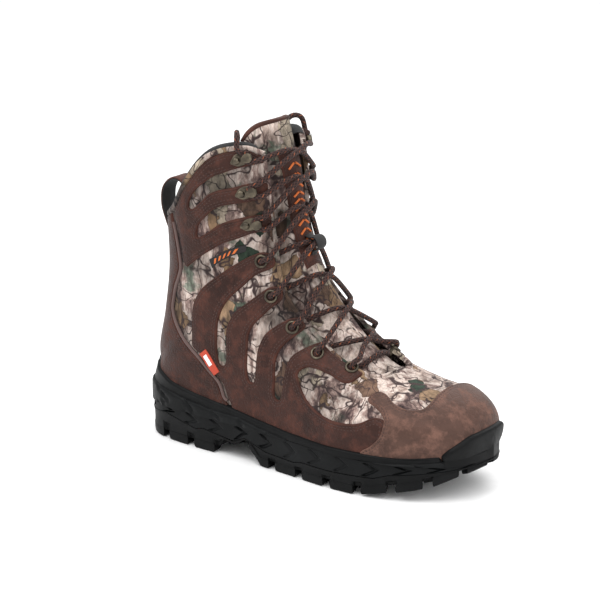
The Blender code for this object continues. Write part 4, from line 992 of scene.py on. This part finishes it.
def make_leather():
    """Leather panels with rolled edges, and their rows of stitches."""
    for name, side in SIDES.items():
        fields = {key: comb(outline, side) for key, (_, outline, _) in STRAPS.items()}
        for key, (height, _, rows) in STRAPS.items():
            panel(f"strap_leather_{key}_{name}", fields[key], 1.6, 3.7, LEATHER, rows, swell=0.35,
                  stands_for=(f"{height}_overlay_{name}",), slot="brown_leather")
        for key, (_, _, rows) in STRAPS.items():
            seam(f"stitches_{key}_{name}", fields[key], (2.2, 4.4), 3.85, rows, near_hardware(side))

    heel_edge = [(x - 3.4, z) for x, z in PIPING_LINE] + [(-30, 215), (-30, 15)]
    heel = np.minimum(UPPER.inside(heel_edge), UPPER.collar_field - COLLAR_MARGIN)
    rows = (6, TOP_STATION)
    panel("heel_leather", heel, 1.6, 3.8, LEATHER, rows, swell=0.3, stands_for=("heel_overlay",),
          slot="brown_leather")
    seam("stitches_heel", heel, (2.4, 5.0), 3.95, rows)

    lateral, medial = (UPPER.inside(CAP_SIDE + CAP_TOP[side] + CAP_TOE) for side in (-1, 1))
    cap = np.where(UPPER.share.reshape(-1) > 0, medial, lateral)
    rows = (0, 4.75)
    panel("toe_cap_leather", cap, 1.6, 4.7, CAP_LEATHER, rows, swell=0.4, stands_for=("toe_cap",),
          slot="brown_leather")
    seam("stitches_cap", cap, (2.3, 4.3), 4.9, rows)

    for name, side in SIDES.items():
        route = []
        for x, z in [(99, 46.5)] + PIPING_LINE[2:-2] + [(48.6, 184)]:
            point, normal = UPPER.from_side(x - 1.6, z, side)
            route.append(point + 2.9 * normal)
        mesh = tube_mesh(f"seam_piping_{name}", even_curve(route, 1.5), 1.35, 10)
        put(f"seam_piping_{name}", mesh, PIPING, stands_for=(f"heel_piping_{name}",), slot="piping")


def near_hardware(side):
    """Says whether a drawn point is under an eyelet or a hook of one side."""
    spots = [UPPER.from_side(*spot, side)[0] for spot in EYELET_SPOTS]
    for rivet, tip in HOOK_SPOTS:
        spots += [UPPER.from_side(*rivet, side)[0], UPPER.from_side(*tip, side)[0]]
    spots = np.array(spots)
    return lambda point: np.linalg.norm(spots - point, axis=1).min() < 7.0


def make_rubber_upper():
    """Smooth rand with a lip, the sculpted wrap that climbs it from the midsole, and the toe bumper."""
    rand = np.minimum(-above(RAND_TOP), 287.5 - UPPER.flat_points[:, 0])
    panel("rand_rubber", rand, 1.8, 6.3, RUBBER, (0.3, 12.9), roll=2.2, stands_for=("rand",),
          slot="black_rubber")
    wrap = np.minimum(-above(WRAP_TOP), 289.0 - UPPER.flat_points[:, 0])
    panel("midsole_wrap", wrap, 5.5, 8.2, FOAM, (0.3, 12.9), roll=2.6, relief=chevrons,
          slot="midsole_foam")
    bumper = UPPER.inside(BUMPER_FRONT)
    panel("toe_bumper_rubber", bumper, 2.0, 8.4, RUBBER, (0, 3.6), roll=2.6, stands_for=("toe_bumper",),
          slot="black_rubber")


def chevrons(points):
    """V grooves leaning one way above the middle of the wrap's height and the other way below."""
    middle = profile_at(WRAP_TOP, points[:, 0]) * 0.5 + 13
    slant = (points[:, 0] + 1.5 * np.abs(points[:, 2] - middle)) % CHEVRON_PITCH
    return -1.7 * np.clip((2.6 - np.abs(slant - CHEVRON_PITCH / 2)) / 1.6, 0, 1)


# ---------------------------------------------------------------- lining, collar and footbed


def ring_over_collar(share):
    """Section of the padded collar at a share of the section: outer face, over the top, down inside."""
    top = collar(np.abs(share))
    point, normal = signed_point(top, share), signed_normal(top, share)
    climb = signed_point(top + 0.05, share) - signed_point(top - 0.05, share)
    climb = units(climb)
    rings = []
    for turn in np.linspace(0, math.pi, 9):
        rings.append(point + normal * (-1.75 + 4.95 * math.cos(turn)) + climb * (2.6 * math.sin(turn) - 0.5))
    for drop, depth in ((0.12, 7.2), (0.3, 7.6), (0.5, 7.4), (0.75, 6.9)):
        row = top - drop
        rings.append(signed_point(row, share) - depth * signed_normal(row, share))
    return np.stack(rings, axis=-2)


def make_lining():
    """Knitted inside face of the bootie, its floor, and the padded roll over the collar."""
    shares = np.concatenate([np.linspace(0.195, 1, 60), np.linspace(-1, -0.195, 60)[1:]])
    rolls = ring_over_collar(shares)
    rows, count = rolls.shape[:2]
    faces = [
        (i * count + k, (i + 1) * count + k, (i + 1) * count + k + 1, i * count + k + 1)
        for i in range(rows - 1) for k in range(count - 1)
    ]
    mesh = mesh_of("collar_roll", rolls.reshape(-1, 3), faces, 60)
    put("collar_roll", mesh, LINING)

    opening = np.minimum(UPPER.throat_field - 8.0, UPPER.collar_field - 2.0)
    station = UPPER.station.reshape(-1)
    field = np.where(station < 4.8, 50.0, opening)
    points, normals, edge, cells = cut_out(field)
    inside = points - normals * 6.7
    inside[:, 2] = np.maximum(inside[:, 2], 35.4)
    put("bootie_lining", mesh_of("bootie_lining", inside, cells[:, ::-1], 70, edge=edge), LINING,
        stands_for=("insulated_bootie",), slot="lining_fabric")


FOOTBED_BASE, FOOTBED_MARGIN = 35.7, 9.3
FOOTBED_FACES = [(4.4, 1.6, 3.0), (0.2, 0.4, 0.6)]  # top and bottom: lift, rim, height of the heel's cup


def make_footbed():
    """Moulded footbed with a cupped heel and a rim, cut to the shape of the floor."""
    low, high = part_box("footbed")
    rows = np.linspace(0.2, 10.9, 70)
    left, right = (upper_points(rows, np.ones_like(rows), side) for side in (-1, 1))
    x, middle = left[:, 0], (left[:, 1] + right[:, 1]) / 2
    half = np.maximum((right[:, 1] - left[:, 1]) / 2 - FOOTBED_MARGIN, 0.4)
    front, rear = high[0] * 1000 + FRAME[0], low[0] * 1000 + FRAME[0]
    x = rear + (x - x.min()) * (front - rear) / (x.max() - x.min())
    across = np.linspace(-1, 1, 25)
    faces = []
    for lift, rim, cup in FOOTBED_FACES:
        heel = np.clip((90 - x) / 80, 0, 1)[:, None] * np.abs(across) ** 3 * cup
        z = FOOTBED_BASE + lift + (np.abs(across) ** 4 * rim)[None] * 0.6 + heel
        y = middle[:, None] + half[:, None] * across[None]
        faces.append(np.stack([np.repeat(x[:, None], len(across), axis=1), y, z], axis=-1))
    rings = [np.concatenate([top, bottom[::-1]]) for top, bottom in zip(*faces)]
    cloth = woven_material("footbed_cloth", (0.05, 0.05, 0.052), 2600.0)
    put("footbed_top", strip_mesh("footbed_top", rings, True, 60), cloth, body=FOOTBED,
        stands_for=("footbed",), slot="lining_fabric")


# ---------------------------------------------------------------- tongue


def tongue_depth(station, share):
    """Depth of the tongue's face under the shell's inner face: it drops where it passes under the sides."""
    under = ease((np.abs(share) / np.maximum(throat(station), 0.06) - 0.35) / 0.55)
    under = under * ease((station - 4.75) / 0.55)
    return 1.9 + 5.1 * under + 3.0 * ease((np.abs(share) - 0.24) / 0.08)


def off_tongue(station, share, lift):
    """(points, normals) at a height over the tongue's face."""
    normal = signed_normal(station, share)
    return signed_point(station, share) + (lift - tongue_depth(station, share))[:, None] * normal, normal


def tongue_sheet(name, stations, width, columns, low, high, finish, roll, **more):
    """A padded strip that follows the tongue, rounded at its rim."""
    station, part = np.meshgrid(stations, np.linspace(-1, 1, columns), indexing="ij")
    share = part * width(stations)[:, None]
    station = station - 0.42 * np.abs(share / 0.26) ** 4 * ease((station - 14.0) / 1.0)
    normal = signed_normal(station, share)
    base = signed_point(station, share) - tongue_depth(station, share)[..., None] * normal
    ends = np.minimum(stations - stations[0], stations[-1] - stations)[:, None] * 19.0
    inside = np.minimum(ends, (1 - np.abs(part)) * width(stations)[:, None] * 140.0)
    crown = np.sqrt(np.clip(1 - (1 - np.clip(inside / (roll * 60), 0, 1)) ** 2, 0, 1))
    middle = (low + high) / 2
    top = base + normal * (middle + (high - middle) * crown)[..., None]
    bottom = base + normal * (middle + (low - middle) * crown)[..., None]
    rows, columns = station.shape
    index = np.arange(rows * columns).reshape(rows, columns)
    a, b, c, d = index[:-1, :-1], index[:-1, 1:], index[1:, 1:], index[1:, :-1]
    quads = np.stack([a, b, c, d], axis=-1).reshape(-1, 4)
    under = rows * columns
    faces = quads.tolist() + (quads[:, ::-1] + under).tolist()
    rim = list(index[0, :]) + list(index[1:, -1]) + list(index[-1, -2::-1]) + list(index[-2:0:-1, 0])
    for p, q in zip(rim, rim[1:] + rim[:1]):
        faces.append((q, p, p + under, q + under))
    points = np.concatenate([top.reshape(-1, 3), bottom.reshape(-1, 3)])
    edges = np.concatenate([inside.reshape(-1)] * 2)
    made = put(name, mesh_of(name, points, faces, 60, edge=edges), finish, body=None, **more)
    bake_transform(made)
    return made


def make_tongue():
    """The padded tongue with its leather edge and strip, and the strip's stitches and chevrons."""
    def width(stations):
        return np.where(stations < 13.9, np.minimum(throat(stations) + 0.10, 0.30), 0.26)

    def smooth_width(stations):
        at = np.linspace(4.6, 15.1, 300)
        return np.interp(stations, at, averaged(width(at), 12))

    tongue = tongue_sheet("tongue_padding", np.linspace(4.62, 15.10, 196), smooth_width, 61, -5.0, 0.0, CAMO,
                          0.05, stands_for=("tongue", "tongue_top_flap"), slot="camo_fabric")
    tongue_sheet("tongue_top_edge", np.linspace(14.93, 15.14, 12), lambda at: smooth_width(at) + 0.003, 61,
                 -5.3, 0.8, LEATHER, 0.045, slot="brown_leather")
    tongue_sheet("tongue_strip_leather", np.linspace(8.12, 13.84, 140), lambda at: 0.088 + 0 * at, 23,
                 0.0, 1.7, LEATHER, 0.02, stands_for=("tongue_strip",), slot="brown_leather")
    for name, side in SIDES.items():
        station = np.linspace(8.2, 13.6, 200)
        stitches(f"stitches_tongue_{name}", [off_tongue(station, np.full_like(station, 0.075 * side), 1.85)])
    bars = []
    for at in np.arange(8.5, 13.5, 0.46):
        for side in (-1, 1):
            share = np.linspace(0.008, 0.052, 8) * side
            line, _ = off_tongue(at + 0.20 - np.abs(share) * 4.2, share, 2.0)
            bars.append(tube_mesh(f"chevron_{at:.2f}_{side}", line, 0.85, 6))
    join("tongue_chevrons", bars, ORANGE)


def join(name, meshes, finish, **more):
    """Several meshes as one piece."""
    shape = bmesh.new()
    for mesh in meshes:
        shape.from_mesh(mesh)
    whole = bpy.data.meshes.new(name)
    shape.to_mesh(whole)
    shape.free()
    whole.shade_smooth()
    return put(name, whole, finish, **more)


def make_gussets():
    """A folded gusset on each side, from the tongue's edge to the lining."""
    for name, side in SIDES.items():
        station = np.linspace(6.1, 13.0, 60)
        low = np.minimum(throat(station) + 0.10, 0.30) + 0.004
        high = throat(station) + (1 - throat(station)) * 0.22 - 0.01
        rings = []
        for part in np.linspace(0, 1, 12):
            share = low + (high - low) * part
            depth = tongue_depth(station, low) + 2.6 + (3.0 - tongue_depth(station, low) - 2.6) * part
            depth = depth + 0.8 * math.sin(part * 3 * math.pi)
            rings.append(off_upper(station, share, side, -depth))
        outer = np.stack(rings, axis=1)
        grid = [np.concatenate([ring, ring[::-1] - np.array([0.8, 0, 0])]) for ring in outer]
        put(f"bellows_{name}", strip_mesh(f"bellows_{name}", grid, True, 70), LINING,
            stands_for=(f"gusset_{name}",), slot="lining_fabric")


# ---------------------------------------------------------------- hardware and laces


def eyelet_frame(number, side):
    """(centre, direction towards the throat, normal) of an eyelet."""
    centre, normal = UPPER.from_side(*EYELET_SPOTS[number], side)
    inward = np.array([0, -side, 0.0])
    return centre, unit(inward - normal * (inward @ normal)), normal


def hook_frame(number, side):
    """(post, direction towards the throat, direction up the shaft, normal) of a hook."""
    rivet, tip = HOOK_SPOTS[number]
    foot, _ = UPPER.from_side(*rivet, side)
    post, normal = UPPER.from_side(*tip, side)
    inward = post - foot
    inward = unit(inward - normal * (inward @ normal))
    up = unit(np.cross(normal, inward))
    return post, inward, up * np.sign(up[2]), normal


def crosswise(axis):
    """Two directions square to an axis."""
    across = unit(np.cross(axis, (0.3, 0.9, 0.2)))
    return across, np.cross(axis, across)


def turned(name, profile, centre, axis, finish, sides=32, **more):
    """A turned piece: (radius, height) profile spun about an axis through a drawn point."""
    across, other = crosswise(axis)
    turns = np.arange(sides) / sides * math.tau
    ring = np.cos(turns)[:, None] * across + np.sin(turns)[:, None] * other
    rings = [centre + height * axis + radius * ring for radius, height in profile]
    return put(name, strip_mesh(name, rings, True, 35), finish, **more)


def hook_mesh(name, post, inward, up, normal):
    """A lace hook: a strap dished across, swept along its side view and folded over at its tip."""
    lines = smooth([(*spot, width) for spot, width in zip(HOOK_LINE, HOOK_WIDTHS)], np.linspace(0, 10, 71))
    rings = []
    for (forward, lift, width), (dx, dz) in zip(lines, units(np.gradient(lines[:, :2], axis=0))):
        ring = []
        for turn in np.arange(20) / 20 * math.tau:
            across = math.cos(turn) * width
            rise = math.sin(turn) * HOOK_GAUGE + HOOK_GAUGE - 0.5 * (abs(across) / 5) ** 2
            ring.append(post + (forward - dz * rise) * inward + across * up + (lift + dx * rise) * normal)
        rings.append(ring)
    return strip_mesh(name, rings, True, 75)


def make_hardware():
    """Eyelets with rolled rims, and riveted lace hooks folded over at their tips."""
    for side_name, side in SIDES.items():
        for number in range(EYELET_ROWS):
            key = f"{side_name}_{number + 1}"
            centre, _, normal = eyelet_frame(number, side)
            mesh = ring_mesh(f"brass_eyelet_{key}", EYELET_LOOP, centre, normal)
            put(f"brass_eyelet_{key}", mesh, BRASS, stands_for=(f"eyelet_{key}",), slot="antique_brass")
        for number in range(HOOK_ROWS):
            key = f"{side_name}_{number + 1}"
            post, inward, up, normal = hook_frame(number, side)
            mesh = hook_mesh(f"brass_hook_{key}", post, inward, up, normal)
            put(f"brass_hook_{key}", mesh, BRASS, stands_for=(f"hook_{key}",), slot="antique_brass")
            turned(f"brass_rivet_{key}", RIVET_DOME, post - 11 * inward, normal, BRASS,
                   stands_for=(f"rivet_{key}",), slot="antique_brass")


def ring_mesh(name, loop, centre, axis, sides=40):
    """A closed (radius, height) loop spun right round an axis."""
    across, other = crosswise(axis)
    points = []
    for turn in np.arange(sides) / sides * math.tau:
        out = math.cos(turn) * across + math.sin(turn) * other
        points += [centre + radius * out + height * axis for radius, height in loop]
    count = len(loop)
    faces = []
    for start in range(0, sides * count, count):
        after = (start + count) % (sides * count)
        for k in range(count):
            n = (k + 1) % count
            faces.append((start + k, start + n, after + n, after + k))
    return mesh_of(name, np.array(points), faces, 40)


def crossing(row, side, over):
    """Three points of the lace between two rows of holes."""
    height = 7.6 if over else 2.7
    points = []
    for part, share in ((0.34, 0.085), (0.5, 0.0), (0.66, 0.085)):
        station = ROW_STATIONS[row] + (ROW_STATIONS[row + 1] - ROW_STATIONS[row]) * part
        lift = height
        if part > 0.5:
            lift = min(lift, 3.6) if row + 1 < EYELET_ROWS else max(lift, 6.2)
        points.append(off_upper(station, share, side if part < 0.5 else -side, lift))
    return points


ROUND_HOOK = [(6, -5.2), (0.5, -4.6), (-3.4, -3.2), (-4.5, 0), (-3.4, 3.2), (0.5, 4.6), (6, 5.2)]


def lace_route(side):
    """One half of the lace, from the bar at the toe up through five eyelets and round three hooks."""
    first, route = side, []
    for row in range(EYELET_ROWS + HOOK_ROWS):
        if row < EYELET_ROWS:
            hole, i, n = eyelet_frame(row, side)
            route += [
                hole - 4.3 * n + 8.5 * i, hole - 4.3 * n + 4.2 * i, hole - 3.2 * n + 0.7 * i, hole - 0.5 * n,
                hole + 4.2 * n, hole + 6.9 * n + 0.7 * i, hole + 7.9 * n + 4.2 * i, hole + 7.4 * n + 9.0 * i,
            ]
        else:
            post, inward, up, normal = hook_frame(row - EYELET_ROWS, side)
            for forward, rise in ROUND_HOOK:
                route.append(post + forward * inward + rise * up + 7.1 * normal)
        if row < EYELET_ROWS + HOOK_ROWS - 1:
            route += crossing(row, side, (row + (first > 0)) % 2 == 0)
            side = -side
    return route


def relaxed(line, times):
    """A line with its tight bends eased, its ends kept."""
    for _ in range(times):
        line = np.concatenate([line[:1], (line[:-2] + 2 * line[1:-1] + line[2:]) / 4, line[-1:]])
    return line


TAIL_INSIDE = [(14.0, 0.365), (13.2, 0.385), (12.4, 0.39), (11.4, 0.40), (10.4, 0.42), (9.5, 0.44)]


def make_tails():
    """The lace's two free ends, each over the collar beside the top hook, with a sleeve at the end."""
    for name, side in SIDES.items():
        post, inward, up, normal = hook_frame(2, side)
        x, z = post[0] - 6.5, post[2]
        above_edge, rise = UPPER.from_side(x - 0.6, z + 4.5, side)
        route = [post + 7.1 * normal - 4.5 * inward + 5.0 * up, above_edge + 7.4 * rise]
        rim, outward = UPPER.from_side(x - 1.0, z + 8.0, side)
        for turn in range(0, 181, 36):
            angle = math.radians(turn)
            out = outward * (-1.3 + 8.1 * math.cos(angle))
            route.append(rim + out + np.array([0, 0, 2 + 8.1 * math.sin(angle)]))
        for station, share in TAIL_INSIDE:
            route.append(off_upper(station, share, side, -9.8))
        line = relaxed(even_curve(route, 1.0), 6)[::2]
        cord = put(f"loose_lace_{name}", tube_mesh(f"loose_lace_{name}", line, LACE_RADIUS), LACE,
                   stands_for=(f"lace_tail_{name}",), slot="lace_cord")
        tip = turned(f"lace_end_{name}", SLEEVE, line[-1], unit(line[-1] - line[-3]), TIP, 16,
                     stands_for=(f"aglet_{name}",), slot="lace_cord")


def make_lace():
    """The laced part as one cord, and the keeper that it passes through on the tongue."""
    bar = [off_upper(ROW_STATIONS[0], share, side, height)
           for share, side, height in ((0.10, -1, -1.0), (0.0, 1, 1.1), (0.10, 1, -1.0))]
    whole = lace_route(-1)[::-1] + bar + lace_route(1)
    line = even_curve(whole[1:-1], 1.3)
    put("round_lace", tube_mesh("round_lace", line, LACE_RADIUS), LACE, stands_for=("lace",),
        slot="lace_cord")
    keeper = []
    for place, lift in ((-13, 0.3), (-9.5, 3.5), (-7.5, 9.6), (0, 11.6), (7.5, 9.6), (9.5, 3.5), (13, 0.3)):
        row = []
        for share in (-0.03, 0.03):
            station = KEEPER_STATION + place / 32
            normal = signed_normal(station, share)
            base = signed_point(station, share) - tongue_depth(station, share) * normal
            row.append(base + (lift + 1.9) * normal)
        keeper.append(np.concatenate(row))
    dense = smooth(keeper, np.linspace(0, 6, 50))
    put("keeper_webbing", ribbon("keeper_webbing", dense[:, :3], dense[:, 3:], 1.2), BLACK,
        stands_for=("lace_keeper",), slot="lining_fabric")


def ribbon(name, left, right, thickness):
    """A flat strap between two drawn edge lines, rounded at its edges."""
    normal = units(np.cross(units(right - left), np.gradient((left + right) / 2, axis=0)))
    parts = (0, 0.06, 0.5, 0.94, 1)
    rings = []
    for k in range(len(left)):
        ring = []
        for face, order in ((1, parts), (-1, parts[::-1])):
            for part in order:
                edge = thickness * (0.28 if part in (0, 1) else 0.5)
                ring.append(left[k] + (right[k] - left[k]) * part + face * normal[k] * edge)
        rings.append(ring)
    return strip_mesh(name, rings)


def at_width(flat, y):
    """Side-view rows of (X, Z) as drawn points at one Y."""
    return np.stack([flat[:, 0], np.full(len(flat), float(y)), flat[:, 1]], axis=1)


def make_pull_loop():
    """Heel pull loop: leather with a webbing lining, and a row of stitches along each edge."""
    line = smooth(PULL_LOOP, np.linspace(0, len(PULL_LOOP) - 1, 90))
    normal = units(np.gradient(line, axis=0)[:, ::-1] * (-1, 1))
    for name, offset, thickness, finish, stands, slot in (
        ("pull_loop_leather", 0.5, 1.3, LEATHER, ("pull_loop",), "brown_leather"),
        ("pull_loop_lining", -0.55, 0.9, BLACK, (), None),
    ):
        left, right = (at_width(line + normal * offset, y) for y in (-8.5, 8.5))
        put(name, ribbon(name, left, right, thickness), finish, stands_for=stands, slot=slot)
    for number, y in enumerate((-6.8, 6.8)):
        stitches(f"stitches_loop_{number}", [(at_width(line + normal * 1.2, y), at_width(normal, 0))])


PATCH = [
    ((84, 153), (82, 160)), ((88, 157), (87, 163)), ((92, 160), (92, 166)), ((96, 162.5), (97, 169)),
    ((101, 165), (102, 171.5)), ((110, 168.5), (110, 173.5)),
]
TAB = [((79, 86), (73, 81)), ((83, 82), (77, 77)), ((86, 78), (80, 73)), ((92, 70), (87, 66))]


def make_labels():
    """Side patch and seam tab on the outer side, with plain marks only."""
    label("patch_webbing", PATCH, 2.2, 3.3, BLACK, ("side_patch",))
    for part in (0.14, 0.30, 0.46, 0.62, 0.78):
        rows = [
            [patch_point(PATCH, part + shift, across) for shift, across in zip(shifts, (0.22, 0.78))]
            for shifts in ((-0.03, 0.03), (0.035, 0.095))
        ]
        label(f"patch_bar_{part:.2f}", rows, 3.2, 3.6, ORANGE)
    label("tab_webbing", TAB, 4.0, 5.0, plain("tab_red", (0.44, 0.050, 0.022), 0.8), ("seam_tab",))
    rows = [[patch_point(TAB, part, across) for across in (0.25, 0.75)] for part in (0.2, 0.75)]
    label("tab_square", rows, 4.9, 5.25, WHITE)


def patch_point(pairs, along, across):
    """A point of a label's own square, as X, Z on the side of the boot."""
    pairs = np.array(pairs, float)
    ends = smooth(pairs.reshape(len(pairs), 4), along * (len(pairs) - 1))
    return tuple(ends[:2] + (ends[2:] - ends[:2]) * across)


def label(name, pairs, low, high, finish, stands_for=()):
    """A small sewn label between pairs of side-view points."""
    pairs = smooth(np.array(pairs, float).reshape(len(pairs), 4), np.linspace(0, len(pairs) - 1, 24))
    rings = []
    for row in pairs:
        ring = []
        for height, parts in ((high, (0, 0.06, 0.35, 0.65, 0.94, 1)), (low, (1, 0.65, 0.35, 0))):
            for part in parts:
                point, normal = UPPER.from_side(*(row[:2] + (row[2:] - row[:2]) * part), SIDES["lateral"])
                drop = 0.3 if part in (0, 1) and height == high else 0
                ring.append(point + (height - drop) * normal)
        rings.append(ring)
    return put(name, strip_mesh(name, rings, True, 45), finish, stands_for=stands_for,
               slot="orange_label" if stands_for else None)


# ---------------------------------------------------------------- sole


def sole_loop():
    """(points, inward directions, lengths) of the sole's outline, seen from above."""
    loop = closed_curve(SOLE_OUTLINE, SOLE_STEPS)
    ahead = units(np.roll(loop, -1, axis=0) - np.roll(loop, 1, axis=0))
    inward = np.stack([-ahead[:, 1], ahead[:, 0]], axis=1)
    inward *= np.sign(np.sum(inward * (loop.mean(axis=0) - loop), axis=1).mean())
    return loop, inward, lengths(loop)


def make_midsole():
    """Foam midsole, its side sculpted with chevrons: full depth at the heel, arch and toe, less between."""
    loop, inward, length = sole_loop()
    x = loop[:, 0]
    deep = ((x > 95) & (x < 150)) | (x < 50) | (x > 225)
    low = profile_at(PARTING, x) + 0.25
    rings = []
    for part in np.concatenate([[0], np.linspace(0.02, 0.98, 26), [1]]):
        slant = (length + 24 * np.abs(part - 0.5)) % CHEVRON_PITCH
        chevron = np.clip((3.0 - np.abs(slant - CHEVRON_PITCH / 2)) / 1.6, 0, 1) * (0.08 < part < 0.9)
        sculpt = 1.7 * chevron * np.where(deep, 1.0, 0.6) + (0.9 if part in (0, 1) else 0)
        inset = 0.5 + sculpt + 0.7 * part
        rings.append(np.column_stack([loop + inward * inset[:, None], low + (SOLE_TOP - low) * part]))
    mesh = strip_mesh("sculpted_midsole", cap_rings(rings), False, 35)
    put("sculpted_midsole", mesh, FOAM, stands_for=("midsole",), slot="midsole_foam")


def cap_rings(rings):
    """Adds rings that close a loft at its bottom and top, shrinking to the spine."""
    bottom, top = ([edge + (spine(edge) - edge) * part for part in (0.15, 0.4, 0.7, 0.995)]
                   for edge in (rings[0], rings[-1]))
    return bottom[::-1] + rings + top


def spine(edge):
    """For each point of a ring, the point of its middle line to shrink to."""
    order = np.argsort(edge[:, 0])
    x = np.clip(edge[:, 0], 40, 270)
    return np.stack([x, np.zeros(len(edge)), np.interp(x, edge[order, 0], edge[order, 2])], axis=1)


def make_outsole():
    """Rubber outsole: a wall with notched lugs at its edge over a patterned underside."""
    loop, inward, length = sole_loop()
    high = profile_at(PARTING, loop[:, 0])
    base = np.minimum(profile_at(GROUND_LINE, loop[:, 0]) + 6.0, high - 2.5)
    middle = LUG_PITCH / 2
    tooth = np.clip((middle - 3.4 - np.abs(length % LUG_PITCH - middle)) / 0.9, 0, 1)
    rings = []
    for part in (0.0, 0.02, 0.1, 0.3, 0.5, 0.7, 0.9, 0.98, 1.0):
        lip = 0.8 * (part > 0.75) + 0.5 * (part in (0.0, 1.0))
        notch = 2.4 * (1 - tooth) * (part < 0.4)
        inset = 0.9 - lip * 0.6 + notch + 0.2
        rings.append(np.column_stack([loop + inward * inset[:, None], base + (high - base) * part]))
    mesh = strip_mesh("outsole_wall", cap_rings(rings), False, 35)
    put("lugged_outsole", mesh, RUBBER, stands_for=("outsole",), slot="black_rubber")
    make_lugs()


def rim_teeth():
    """Outlines of the teeth round the sole's edge, seen from above."""
    loop, inward, length = sole_loop()
    blocks = []
    for start in np.arange(0, length[-1] - 20, LUG_PITCH):
        at = np.linspace(start + 3.7, start + LUG_PITCH - 3.7, 11)
        edge, across = read(loop, length, at), read(inward, length, at)
        blocks.append(np.concatenate([edge + across * 0.9, (edge + across * 11.5)[1:-1][::-1]]))
    return blocks


CLEAT_REACH = [(10, 14), (60, 30), (110, 30), (160, 36), (200, 42), (240, 40), (275, 30), (295, 12)]
CLEAT_STEP, CLEAT_HALF = 17, 6.2


def cleats():
    """Outlines of the slanted cleats between the teeth, in rows under the heel and the forefoot."""
    blocks = []
    for row, x in enumerate([*np.arange(20, 80, 15), *np.arange(140, 290, 15)]):
        half = profile_at(CLEAT_REACH, x)
        for k in range(int(2 * half / CLEAT_STEP)):
            middle = -half + CLEAT_STEP / 2 + k * CLEAT_STEP + (row % 2) * 5
            if abs(middle) + 6 < half:
                lean = 3.5 if k % 2 else -3.5
                low, high = middle - CLEAT_HALF, middle + CLEAT_HALF
                blocks.append(np.array([
                    (x - 5, low + lean), (x + 5, low - lean), (x + 5, high - lean), (x - 5, high + lean),
                ]))
    return blocks


def make_lugs():
    """Blocks of the tread, none under the raised arch."""
    meshes = []
    for number, block in enumerate(rim_teeth() + cleats()):
        centre = block.mean(axis=0)
        ground = profile_at(GROUND_LINE, block[:, 0])
        if profile_at(GROUND_LINE, centre[0]) > 11.9 and 96 < centre[0] < 128:
            continue
        top = np.minimum(ground + 7.2, profile_at(PARTING, block[:, 0]) - 1.6)
        rings = []
        for shrink, z in ((0.90, ground + 0.05), (0.96, ground + 0.55), (1.0, ground + 2.2), (1.0, top)):
            rings.append(np.column_stack([centre + (block - centre) * shrink, z]))
        meshes.append(strip_mesh(f"lug_{number}", rings, True, 30))
    join("tread_lugs", meshes, RUBBER, slot="black_rubber")


def finish_hidden():
    """Materials for the CAD nodes inside the boot that stay as they are."""
    board = woven_material("fibre_board", (0.16, 0.13, 0.10), 2400.0)
    stiffener = plain("stiffener", (0.30, 0.29, 0.27), 0.6)
    steel = plain("spring_steel", (0.42, 0.43, 0.45), 0.34, 1.0)
    for name, finish, slot in (
        ("toe_puff", stiffener, "stiffener_sheet"), ("heel_counter", stiffener, "stiffener_sheet"),
        ("insole_board", board, "fibre_board"), ("shank", steel, "spring_steel"),
    ):
        made = bpy.data.objects[name]
        made.data.materials.clear()
        made.data.materials.append(finish)


set_stage()
make_tails()
make_lace()
make_fabric()
make_leather()
make_rubber_upper()
make_midsole()
make_outsole()
make_lining()
make_footbed()
make_tongue()
make_gussets()
make_hardware()
make_pull_loop()
make_labels()
finish_hidden()
